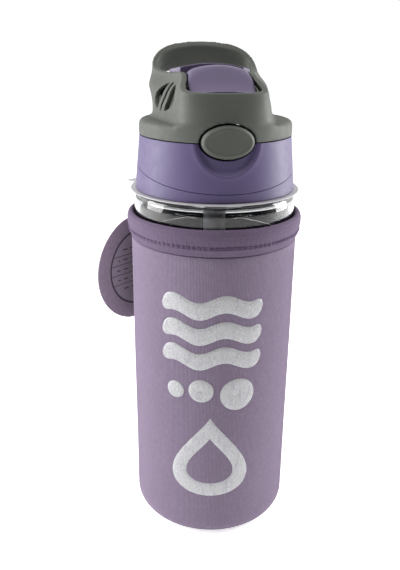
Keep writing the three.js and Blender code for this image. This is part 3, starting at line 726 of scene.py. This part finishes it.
def make_straw():
    socket = turned(
        "straw_adapter",
        [(3.6, 118, 0.3), (5.25, 118, 0.4), (5.3, 119.7, 0.4), (4.8, 120.4, 0.3), (4.8, 170.4, 0.2),
         (3.6, 170.4, 0.2)],
        straw_plastic, "lid", segments=64, centre=(0, -1),
    )
    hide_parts("straw_socket")
    tube = turned(
        "straw_tube",
        [(2.5, 8, 0.2), (3.3, 8, 0.2), (3.3, 80, 0), (3.3, 159.6, 0.2), (2.5, 159.6, 0.2),
         (2.5, 80, 0)],
        straw_plastic, "lid", segments=48, centre=(0, -1),
    )
    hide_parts("straw")


make_bottle()
make_straw()


# ---------------------------------------------------------------- hang tag

TAG_AZIMUTH = math.radians(131)
TAG_OUT = 39.1  # middle of the card's thickness, from the axis
TAG_SIDE = 8.6
TAG_DISC_Z = 113.6
TAG_DISC_R = 25.9
TAG_TONGUE_HALF = 8.4
TAG_RULES = (7.5, 3.2, -1.6, -6.4)  # heights of the printed rules above the ring's middle


def tag_look():
    """Laminated card: a printed ring with ruled lines and small blocks, and no words."""
    look = Look("tag_card", Coat_Weight=0.35, Coat_Roughness=0.25)
    along = (math.cos(TAG_AZIMUTH + math.pi / 2), math.sin(TAG_AZIMUTH + math.pi / 2), 0)
    across = look.node(
        "ShaderNodeVectorMath", {0: look.place, 1: along}, operation="DOT_PRODUCT",
    ).outputs["Value"]
    height = look.node("ShaderNodeSeparateXYZ", {"Vector": look.place}).outputs["Z"]
    side = look.math("SUBTRACT", across, TAG_SIDE * MM)
    rise = look.math("SUBTRACT", height, TAG_DISC_Z * MM)
    squares = look.math(
        "ADD", look.math("MULTIPLY", side, side), look.math("MULTIPLY", rise, rise),
    )
    far = look.math("SQRT", squares)
    on_disc = look.math("LESS_THAN", height, 0.1405)
    inside = look.math("LESS_THAN", far, 0.0182)
    ring = look.math("COMPARE", far, 0.0182)
    ring.node.inputs[2].default_value = 0.00045
    fibres = look.noise(700, 4, 0.6)
    tone = look.mix(look.spread(fibres, 0.3, 0.7), rgb(146, 132, 148), rgb(164, 150, 166))
    tone = look.mix(look.math("MULTIPLY", inside, 0.5), tone, rgb(168, 158, 172))
    lines = None
    for z in TAG_RULES:
        rule = look.math("COMPARE", rise, z * MM)
        rule.node.inputs[2].default_value = 0.00016
        lines = rule if lines is None else look.math("MAXIMUM", lines, rule)
    step = look.math("FRACT", look.math("MULTIPLY", look.math("ADD", side, 0.002), 210.0))
    dash = look.math("LESS_THAN", step, 0.6)
    row = look.math("FRACT", look.math("MULTIPLY", look.math("ADD", rise, 0.0016), 208.0))
    band = look.math(
        "MULTIPLY", look.math("GREATER_THAN", row, 0.4), look.math("LESS_THAN", row, 0.52),
    )
    blocks = look.math(
        "MULTIPLY", look.math("MULTIPLY", dash, band), look.math("LESS_THAN", far, 0.0145),
    )
    lines = look.math("MULTIPLY", lines, inside)
    ink = look.math("MAXIMUM", look.math("MAXIMUM", lines, blocks), ring)
    ink = look.math("MULTIPLY", ink, on_disc)
    pale = look.math("GREATER_THAN", height, 0.1524)
    tone = look.mix(look.math("MULTIPLY", pale, 0.75), tone, rgb(172, 173, 173))
    tone = look.mix(look.math("MULTIPLY", ink, 0.85), tone, rgb(30, 27, 34))
    rough = look.spread(fibres, 0.3, 0.7, 0.5, 0.64)
    return look.use(Base_Color=tone, Roughness=rough, Normal=look.bump(fibres, 0.03, 0.5))


def make_tag():
    card = tag_look()
    thick = 0.2
    ring = turned(
        "tag_ring",
        [(28.2, 156.62, 0.05), (35.9, 156.62, 0.1), (35.9, 157, 0.1), (28.2, 157, 0.05)],
        card, "tag", segments=160,
    )
    path = spline(
        [(30.5, 156.82), (34, 156.8), (37.2, 156.6), (38.7, 156), (39.05, 154),
         (TAG_OUT, 149), (TAG_OUT, 141), (TAG_OUT, 139.3)], 40,
    )
    low = np.linspace(139, TAG_DISC_Z - TAG_DISC_R, 48)[1:]
    path = np.concatenate((path, np.stack((np.full(len(low), TAG_OUT), low), axis=1)))
    offset = path[:, 1] - TAG_DISC_Z
    round_half = np.sqrt(np.clip(TAG_DISC_R ** 2 - offset ** 2, 0.04, None))
    above = offset > 0
    neck = TAG_TONGUE_HALF - 9.5 * smoothstep(156.4, 155.4, path[:, 1])
    far_edge = TAG_SIDE + np.where(above, np.maximum(neck, round_half), round_half)
    near_edge = TAG_SIDE - np.where(above, np.maximum(TAG_TONGUE_HALF, round_half), round_half)
    ahead = np.gradient(path, axis=0)
    ahead /= np.linalg.norm(ahead, axis=1, keepdims=True)
    normal = np.stack((-ahead[:, 1], ahead[:, 0]), axis=1)
    spread = np.linspace(-1, 1, 41)
    out = np.array((math.cos(TAG_AZIMUTH), math.sin(TAG_AZIMUTH), 0))
    along = np.array((-out[1], out[0], 0))
    curl = 0.35 * smoothstep(0, 40, TAG_DISC_Z + 26 - path[:, 1])
    layers = []
    for sign in (1, -1):
        distance = path[:, 0] + sign * thick * normal[:, 0]
        height = path[:, 1] + sign * thick * normal[:, 1]
        reach = distance[:, None] + curl[:, None] * (spread[None, :] ** 2) * 0.5
        middle, half = (far_edge + near_edge) / 2, (far_edge - near_edge) / 2
        across = middle[:, None] + half[:, None] * spread[None, :]
        layers.append(
            reach[..., None] * out + across[..., None] * along
            + height[:, None, None] * np.array((0, 0, 1.0))
        )
    points, faces = two_sided(*layers)
    hanging = piece("tag_card_hanging", points, faces, card, "tag", 50)
    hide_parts("hang_tag")


make_tag()


# ---------------------------------------------------------------- collar

CRESCENT = (10.9, 12.7)  # from the button's middle: where the dish ends, and where it begins
CRESCENT_DEPTH = 1.75


def collar_outer(z):
    return np.interp(z, (COLLAR_BOTTOM, COLLAR_TOP), (COLLAR_BOTTOM_R, COLLAR_TOP_R))


def make_collar_ring(name, node, keep_above):
    """One half of the collar, either side of the tilted parting line."""
    segments = 384
    heights = np.linspace(COLLAR_BOTTOM, COLLAR_TOP, 76)
    angles = np.arange(segments) * TAU / segments
    z, angle = np.meshgrid(heights, angles, indexing="ij")
    radius = collar_outer(z)
    across = radius * np.cos(angle)
    from_button = np.hypot(across, z - BUTTON_Z)
    facing = np.sin(angle) < 0
    dish = np.where(facing, 1 - smoothstep(CRESCENT[0], CRESCENT[1], from_button), 0)
    lip = np.where(facing, np.exp(-((from_button - CRESCENT[1] - 0.4) / 0.8) ** 2), 0)
    radius = radius - CRESCENT_DEPTH * dish + 0.1 * lip
    outer = np.stack((radius * np.cos(angle), radius * np.sin(angle), z), axis=-1)
    few = heights[::-5]
    z, angle = np.meshgrid(few, angles, indexing="ij")
    thin = collar_outer(z) - COLLAR_WALL
    near = np.hypot(thin * np.cos(angle), z - BUTTON_Z) < CRESCENT[1]
    thin = np.where(near & (np.sin(angle) < 0), np.minimum(thin, 30), thin)
    inner_wall = np.stack((thin * np.cos(angle), thin * np.sin(angle), z), axis=-1)
    points = np.concatenate((outer.reshape(-1, 3), inner_wall.reshape(-1, 3)))
    faces = sheet_faces(len(heights) + len(few), segments, True, True)
    ring = piece(name, points, faces, purple, None)
    tidy_mesh(ring)
    sign = 1 if keep_above else -1
    bm = bmesh.new()
    bm.from_mesh(ring.data)
    normal = Vector((0, -PARTING_SLOPE, 1)).normalized()
    cut = bmesh.ops.bisect_plane(
        bm, geom=bm.verts[:] + bm.edges[:] + bm.faces[:], dist=1e-7,
        plane_co=Vector((0, 0, PARTING_Z + sign * 0.15)) * MM, plane_no=normal,
        clear_inner=keep_above, clear_outer=not keep_above,
    )
    loops = [item for item in cut["geom_cut"] if isinstance(item, bmesh.types.BMEdge)]
    bmesh.ops.bridge_loops(bm, edges=loops)
    bmesh.ops.recalc_face_normals(bm, faces=bm.faces)
    bm.to_mesh(ring.data)
    bm.free()
    if keep_above:
        half_x, half_z = (h + BUTTON_GAP for h in BUTTON_HALF)
        combine(ring, prism(oval(half_x, half_z, 0, BUTTON_Z, 96), -40, -20, "y"), "DIFFERENCE")
    edge = ring.modifiers.new("edge", "BEVEL")
    edge.width = 0.16 * MM
    edge.segments = 2
    edge.limit_method = "ANGLE"
    edge.angle_limit = math.radians(50)
    baked(ring)
    ring.data.shade_smooth()
    ring.data.set_sharp_from_angle(angle=math.radians(50))
    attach(ring, "lid")
    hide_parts(node)


make_collar_ring("collar_ring_lower", "collar_lower", False)
make_collar_ring("collar_ring_upper", "collar_upper", True)


# ---------------------------------------------------------------- cover with the loop

# The neck's outline at each height: seven points from the middle of the front, along the
# right-hand side, to the middle of the back.
NECK_LEVELS = [
    (183, (0, -31.5), (16, -27.1), (22, -12), (24.6, 0), (25.8, 9), (20.5, 22.5), (0, 28.5)),
    (190, (0, -30.4), (15.6, -26), (20.6, -10.5), (23.4, 0), (25.4, 11), (21.5, 24.5), (0, 30.5)),
    (194, (0, -29.2), (15.6, -25), (19.4, -9.5), (22.4, 2), (25.6, 16), (22.5, 28), (0, 34)),
    (197.5, (0, -28), (15.6, -23.8), (18.2, -9), (21, 4), (26, 23), (22.5, 32.5), (0, 38)),
    (203, (0, -26.4), (14, -21), (15, -6), (17.8, 9.5), (23.9, 34), (21, 39.4), (0, 42.2)),
    (210, (0, -25), (13, -19), (14.4, -4), (17.4, 11), (23.5, 35), (19.6, 41.5), (0, 45)),
    (218, (0, -25), (13, -19), (14.4, -4), (17.4, 11), (22.8, 35), (17.8, 42.2), (0, 46.2)),
]
RIM = [
    (-40, 197.3), (-27, 197.5), (-23, 197.9), (-17, 199.6), (-10, 201.9), (-5, 203.3),
    (-1, 203.7), (5, 203.2), (14, 202.9), (23, 203.2), (30, 204.2), (35, 206.2), (39, 209.2),
    (42.5, 212.6), (45, 214.7), (47.5, 215.4), (60, 215.6),
]
COVER_WALL = 2.3
FILLET = 1.8


def closed_spline(points, per_span):
    """A closed smooth line by the centripetal rule, as the CAD draws it."""
    count = len(points)
    spans = []
    for i in range(count):
        p0, p1, p2, p3 = (points[(i + k) % count] for k in (-1, 0, 1, 2))
        d0, d1, d2 = (math.sqrt(np.linalg.norm(b - a)) for a, b in ((p0, p1), (p1, p2), (p2, p3)))
        m1 = ((p1 - p0) / d0 - (p2 - p0) / (d0 + d1) + (p2 - p1) / d1) * d1
        m2 = ((p2 - p1) / d1 - (p3 - p1) / (d1 + d2) + (p3 - p2) / d2) * d1
        t = (np.arange(per_span) / per_span)[:, None]
        spans.append(
            (2 * t ** 3 - 3 * t ** 2 + 1) * p1 + (t ** 3 - 2 * t ** 2 + t) * m1
            + (3 * t ** 2 - 2 * t ** 3) * p2 + (t ** 3 - t ** 2) * m2
        )
    return np.concatenate(spans)


def neck_outlines(levels):
    """The neck's outline at many heights."""
    tracks = []
    for column in range(1, 8):
        knots = [(*level[column], level[0]) for level in NECK_LEVELS]
        tracks.append(spline(knots, levels))
    outlines = []
    for row in range(levels):
        right = [track[row] for track in tracks]
        left = [p * (-1, 1, 1) for p in right[-2:0:-1]]
        outlines.append(closed_spline(np.array(right + left), 9))
    return np.array(outlines)


def pushed_out(outlines, distance):
    """Each outline grown sideways; distance has one value for each outline."""
    ahead = np.roll(outlines, -1, axis=1) - np.roll(outlines, 1, axis=1)
    flat = np.stack((ahead[..., 1], -ahead[..., 0]), axis=-1)
    flat /= np.linalg.norm(flat, axis=-1, keepdims=True)
    grown = outlines.copy()
    grown[..., :2] += flat * np.asarray(distance)[:, None, None]
    return grown


def lofted(outlines):
    rows, columns = outlines.shape[:2]
    faces = sheet_faces(rows, columns, close_columns=True)
    faces += [tuple(reversed(range(columns))), tuple(range((rows - 1) * columns, rows * columns))]
    tool = piece("tool", outlines.reshape(-1, 3), faces, None, None)
    tidy_mesh(tool)
    return tool


def block(x, y, z):
    outline = [(x[0], y[0]), (x[1], y[0]), (x[1], y[1]), (x[0], y[1])]
    return prism(outline, z[0], z[1], "z")


WINDOW_HALF = (11, 5.5)  # half the width and half the height of a side window
WINDOW_Z = 194.2
WINDOW_AT = (21.3, -2)
WINDOW_TURN = 72  # degrees from the front to the way a window faces
RIB_AT = 2.5  # from the window's middle to the middle of each rib
RIB_HALF = 1.5
RIB_LEAN = 8  # degrees


def window_slot(side, slot):
    """One of a side window's three slots, between the two leaning ribs."""
    angle = np.arange(96) * TAU / 96
    outline = np.stack((WINDOW_HALF[0] * np.cos(angle), WINDOW_HALF[1] * np.sin(angle)), axis=1)
    lean = math.tan(math.radians(RIB_LEAN)) * side
    slant = -lean * outline[:, 1]
    gap = RIB_AT - RIB_HALF + 0.05 * outline[:, 1]
    if slot == 0:
        offset = np.clip(outline[:, 0], slant - gap, slant + gap)
    elif slot < 0:
        offset = np.minimum(outline[:, 0], -RIB_AT - RIB_HALF - lean * outline[:, 1])
    else:
        offset = np.maximum(outline[:, 0], RIB_AT + RIB_HALF - lean * outline[:, 1])
    shape = np.stack((offset, outline[:, 1]), axis=1)
    shape = shape[np.linalg.norm(shape - np.roll(shape, 1, axis=0), axis=1) > 0.02]
    tool = prism(shape, -8, 5, "y")
    turn = Matrix.Rotation(math.radians(side * WINDOW_TURN), 4, "Z")
    place = Matrix.Translation(Vector((side * WINDOW_AT[0], WINDOW_AT[1], WINDOW_Z)) * MM)
    tool.data.transform(place @ turn)
    return tool


def make_cover():
    outlines = neck_outlines(64)
    height = outlines[:, 0, 2]
    rise = np.clip(COVER_SHOULDER + FILLET - height, 0, FILLET)
    flare = FILLET - np.sqrt(FILLET ** 2 - rise ** 2)
    body = pushed_out(outlines, flare)
    far = np.linalg.norm(body[..., :2], axis=-1)
    limit = np.interp(height, (183.5, 188.5, 188.6), (31.85, 31.6, 99))[:, None]
    body[..., :2] *= np.minimum(1, limit / far)[..., None]
    cover = turned(
        "cover_with_loop",
        [(0, 183.6, 0), (29.9, 183.6, 0.6), (29.9, COVER_BOTTOM, 0), (31.85, COVER_BOTTOM, 0),
         (31.85, COVER_SHOULDER + 0.1, 2.7), (0, COVER_SHOULDER, 0)],
        grey, None, segments=192, sharp=60,
    )
    combine(cover, lofted(body), "UNION")
    hollow = pushed_out(outlines, np.full(len(outlines), -COVER_WALL))
    for y, z in (((-60, 8), (170, 240)), ((7, 60), (187.5, 240))):
        tool = combine(lofted(hollow), block((-60, 60), y, z), "INTERSECT")
        combine(cover, tool, "DIFFERENCE")
    line = spline(RIM, 90)
    above = np.concatenate((line, [(60, 240), (-40, 240)]))
    combine(cover, prism(above, -60, 60, "x"), "DIFFERENCE")
    hole = rounded([(-19.5, 188, 5), (19.5, 188, 5), (19.5, 202.4, 5), (-19.5, 202.4, 5)], 8)
    combine(cover, prism(hole, 14, 60, "y"), "DIFFERENCE")
    half_x, half_z = (h + BUTTON_GAP - 0.1 for h in BUTTON_HALF)
    combine(cover, prism(oval(half_x, half_z, 0, BUTTON_Z, 96), -40, -22, "y"), "DIFFERENCE")
    for side in (1, -1):
        for slot in (-1, 0, 1):
            combine(cover, window_slot(side, slot), "DIFFERENCE")
    soften(cover, 0.36, 9, grey)
    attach(cover, "lid")
    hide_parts("top_cover")


make_cover()


def window_lining(side):
    """The inner wall that closes the side window a little way behind its ribs."""
    levels = neck_outlines(64)
    levels = levels[(levels[:, 0, 2] > 186.6) & (levels[:, 0, 2] < 200.6)]
    skins = [pushed_out(levels, np.full(len(levels), -COVER_WALL - depth)) for depth in (1.3, 2)]
    middle = levels[len(levels) // 2]
    inside = np.flatnonzero((middle[:, 0] * side > 5) & (middle[:, 1] > -14) & (middle[:, 1] < 14))
    skins = [skin[:, inside] for skin in skins]
    rows, columns = skins[0].shape[:2]
    points = np.concatenate((skins[0], skins[1][:, ::-1]), axis=1).reshape(-1, 3)
    faces = sheet_faces(rows, columns * 2, True, True)
    name = "window_lining_right" if side > 0 else "window_lining_left"
    lining = piece(name, points, faces, grey, "lid", 50)


window_lining(1)
window_lining(-1)


# ---------------------------------------------------------------- button


def make_button():
    """An oval button: a rounded rim with a chamfer inside it, and a crowned face."""
    half_x, half_z = BUTTON_HALF
    profile = [
        (1.0, 0.0), (1.0, 0.8), (0.99, 1.15), (0.96, 1.6), (0.92, 2.0), (0.885, 2.26),
        (0.86, 2.36), (0.83, 2.4), (0.8, 2.36), (0.75, 2.28), (0.6, 2.28), (0.3, 2.3),
        (0.0, 2.3),
    ]
    count = 96
    angle = np.arange(count) * TAU / count
    rows = []
    for scale, out in profile:
        inset = (1 - scale) * (half_x + half_z) / 2
        across = half_x - inset if scale > 0.7 else half_x * scale
        upward = half_z - inset if scale > 0.7 else half_z * scale
        x, z = across * np.cos(angle), upward * np.sin(angle)
        follow = COLLAR_TOP_R - np.sqrt(COLLAR_TOP_R ** 2 - x ** 2)
        y = BUTTON_BACK_Y - out + follow * 0.62 * (out > 0)
        rows.append(np.stack((x, y, BUTTON_Z + z), axis=1))
    points = np.concatenate(rows)
    faces = sheet_faces(len(rows), count, close_columns=True)
    faces.append(tuple(range(count)))
    face = piece("button_face", points, faces, grey, "button", 55)
    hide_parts("push_button")
    rows = []
    for scale in (1, 0.97, 0.7, 0.4, 0):
        x, z = 11.6 * scale * np.cos(angle), 6.9 * scale * np.sin(angle)
        rows.append(np.stack((x, -np.sqrt(28.3 ** 2 - x ** 2), BUTTON_Z - 0.3 + z), axis=1))
    rows += [row + (0, 0.8, 0) for row in rows[::-1]]
    flange = piece(
        "button_flange", np.concatenate(rows), sheet_faces(len(rows), count, True, True), hidden,
        "button", 40,
    )
    boss = turned(
        "button_boss", [(0, 0, 0), (3.2, 0, 0.3), (3.2, 3.8, 0.4), (0, 3.8, 0)], grey, None,
        segments=32,
    )
    boss.data.transform(
        Matrix.Translation(Vector((0, -30, 178.5)) * MM) @ Matrix.Rotation(-math.pi / 2, 4, "X")
    )
    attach(boss, "button")


make_button()


# ---------------------------------------------------------------- spout cover and rear guard

SLIDE = [
    (-21.4, 197), (-19.6, 197.5), (-17, 198.6), (-13, 201), (-9.5, 204), (-7, 205.7),
    (-4.5, 206.3), (-1, 206.2), (2.5, 205.2), (4.6, 203.2),
]
SLIDE_HALF = 12.3


def make_spout_cover():
    """The slide: an arched sheet with rolled side edges, side skirts and two catch tabs."""
    line = spline(SLIDE, 60)
    across = np.linspace(-1, 1, 61)
    crest = smoothstep(-13, -6, line[:, 0])
    rows = []
    for (y, z), top in zip(line, crest):
        x = across * (SLIDE_HALF + 0.8 * (1 - top))
        droop = (0.7 + 1.5 * top) * across ** 2 + 0.9 * np.abs(across) ** 14
        scoop = 0.8 * (1 - top) * (1 - across ** 2) * smoothstep(-23, -18, y)
        lift = 0.9 * (1 - across ** 2) * (1 - smoothstep(-22.4, -19, y))
        rows.append(np.stack((x, np.full_like(x, y), z - droop - scoop + lift + 0.2), axis=1))
    top = np.array(rows)
    under = top.copy()
    under[..., 2] -= 1.6
    under[..., 0] *= 0.985
    points, faces = two_sided(top, under)
    cover = piece("spout_slide", points, faces, slide_purple, None, 60)
    hinge_y, hinge_z = HINGE
    for side in (-1, 1):
        skirt = [(y, z - 2.4 - 1.5 * rise) for (y, z), rise in zip(line[3:], crest[3:])]
        skirt += [
            (4.6, hinge_z - 1), (hinge_y + 1.5, hinge_z - 3.4), (hinge_y - 2.5, hinge_z - 3.4),
            (-12, hinge_z - 2.2), (-20.9, hinge_z - 1.9),
        ]
        ends = sorted((side * (SLIDE_HALF - 1.3), side * (SLIDE_HALF - 0.1)))
        combine(cover, prism(skirt, *ends, "x"), "UNION")
        tab = [
            (-20.6, 187.9), (-19.2, 187.9), (-18.9, 188.4), (-18.9, 189.4), (-19.4, 189.7),
            (-19.4, 197.2), (-20.6, 196.8),
        ]
        combine(cover, prism(tab, *sorted((side * 5.4, side * 7.5)), "x"), "UNION")
    bore = oval(1.8, 1.8, hinge_y, hinge_z, 32)
    combine(cover, prism(bore, -20, 20, "x"), "DIFFERENCE")
    soften(cover, 0.22, 6, slide_purple)
    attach(cover, "spout")
    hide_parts("spout_cover")


def make_guard():
    """The wall behind the spout, with its wings, its arched top and the two hinge lugs."""
    plan = [
        (-13.5, 11.2), (13.5, 11.2), (17.6, 17.5), (16.1, 18.1), (12.7, 12.7), (-12.7, 12.7),
        (-16.1, 18.1), (-17.6, 17.5),
    ]
    guard = prism(plan, 187.8, 209, "z")
    combine(guard, prism(oval(57, 57, 0, 149.7, 160), 0, 30, "y"), "INTERSECT")
    hinge_y, hinge_z = HINGE
    top = hinge_z + 4.6
    lug = [
        (hinge_y - 3.6, 173), (7, 173), (7, 187.8), (12, 187.8), (12, top), (hinge_y + 2, top),
        (hinge_y - 2.4, top - 1.2), (hinge_y - 3.6, top - 3.4),
    ]
    for ends in ((12.9, 14.9), (-14.9, -12.9)):
        combine(guard, prism(lug, *sorted(ends), "x"), "UNION")
    combine(guard, prism(oval(1.8, 1.8, hinge_y, hinge_z, 32), -20, 20, "x"), "DIFFERENCE")
    # the rear wall takes the slide's purple, the collar's plastic with its own albedo for the top
    # light: painted light
    soften(guard, 0.24, 5, slide_purple)
    guard.name = "rear_wall"
    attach(guard, "lid")
    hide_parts("rear_guard")


make_spout_cover()
make_guard()


# ---------------------------------------------------------------- inner pieces from the CAD

# lid_core, spout_arm and button_latch take the darkened inner plastic: painted shade in the gaps
CARRIED = {
    "lid_core": inner,
    "neck_gasket": silicone,
    "spout_seal": silicone,
    "vent_valve": silicone,
    "mouthpiece": silicone,
    "spout_arm": inner,
    "button_latch": inner,
    "button_spring": wire,
    "torsion_spring": wire,
    "hinge_pin_left": wire,
    "hinge_pin_right": wire,
}

for node, material in CARRIED.items():
    obj = bpy.data.objects[node]
    for place in obj.material_slots:
        place.material = material


# ---------------------------------------------------------------- stage and lights


def add_stage():
    """A plain white floor that glows a little, most of all from the bottle backwards."""
    look = Look("studio_paper", Specular_IOR_Level=0.1)
    cloud = look.noise(3, 2)
    tone = look.mix(cloud, (0.9, 0.9, 0.9, 1), (0.93, 0.93, 0.93, 1))
    behind = look.node("ShaderNodeSeparateXYZ", {"Vector": look.place}).outputs["Y"]
    look.use(
        Base_Color=tone, Roughness=look.spread(cloud, 0.3, 0.7, 0.85, 0.95),
        Emission_Color=tone, Emission_Strength=look.spread(behind, -0.25, -0.05, 0.3, 0.72),
    )
    across = np.linspace(-6000, 6000, 9)
    points = [(x, y, -0.05) for y in across for x in across]
    floor = piece("studio_floor", points, sheet_faces(9, 9), look.material, None)


def add_light(name, at, aim, size, watts):
    data = bpy.data.lights.new(name, "AREA")
    data.shape = "RECTANGLE"
    data.size, data.size_y = size
    data.energy = watts
    light = bpy.data.objects.new(name, data)
    light.location = at
    light.rotation_euler = (Vector(aim) - Vector(at)).to_track_quat("-Z", "Y").to_euler()
    light.visible_transmission = False
    bpy.context.scene.collection.objects.link(light)


def add_world():
    """A white studio that is dark on the side the camera stands, and plain white to look at."""
    world = bpy.data.worlds.new("studio")
    world.use_nodes = True
    nodes, links = world.node_tree.nodes, world.node_tree.links
    background = nodes["Background"]
    place = nodes.new("ShaderNodeTexCoord")
    parts = nodes.new("ShaderNodeSeparateXYZ")
    links.new(place.outputs["Generated"], parts.inputs["Vector"])
    back = nodes.new("ShaderNodeMapRange")
    back.interpolation_type = "SMOOTHSTEP"
    links.new(parts.outputs["Y"], back.inputs["Value"])
    for key, value in STUDIO_GLOW.items():
        back.inputs[key].default_value = value
    seen = nodes.new("ShaderNodeLightPath")
    glow = nodes.new("ShaderNodeMath")
    glow.operation = "MAXIMUM"
    links.new(back.outputs["Result"], glow.inputs[0])
    links.new(seen.outputs["Is Camera Ray"], glow.inputs[1])
    links.new(glow.outputs[0], background.inputs["Strength"])
    background.inputs["Color"].default_value = (1, 1, 1, 1)
    bpy.context.scene.world = world


STUDIO_GLOW = {"From Min": -0.6, "From Max": 0.45, "To Min": 0.02, "To Max": 0.85}
MIDDLE = (0, 0, 0.12)

add_stage()
add_world()
add_light("left_softbox", (-0.75, 0.12, 0.42), (0, 0, 0.15), (0.45, 0.8), 10.5)
add_light("top_softbox", (0, -0.25, 0.75), (0, -0.01, 0.2), (0.5, 0.3), 1.5)
add_light("right_softbox", (0.80, 0.12, 0.32), MIDDLE, (0.4, 0.9), 11)
bpy.context.scene.view_settings.view_transform = "Standard"
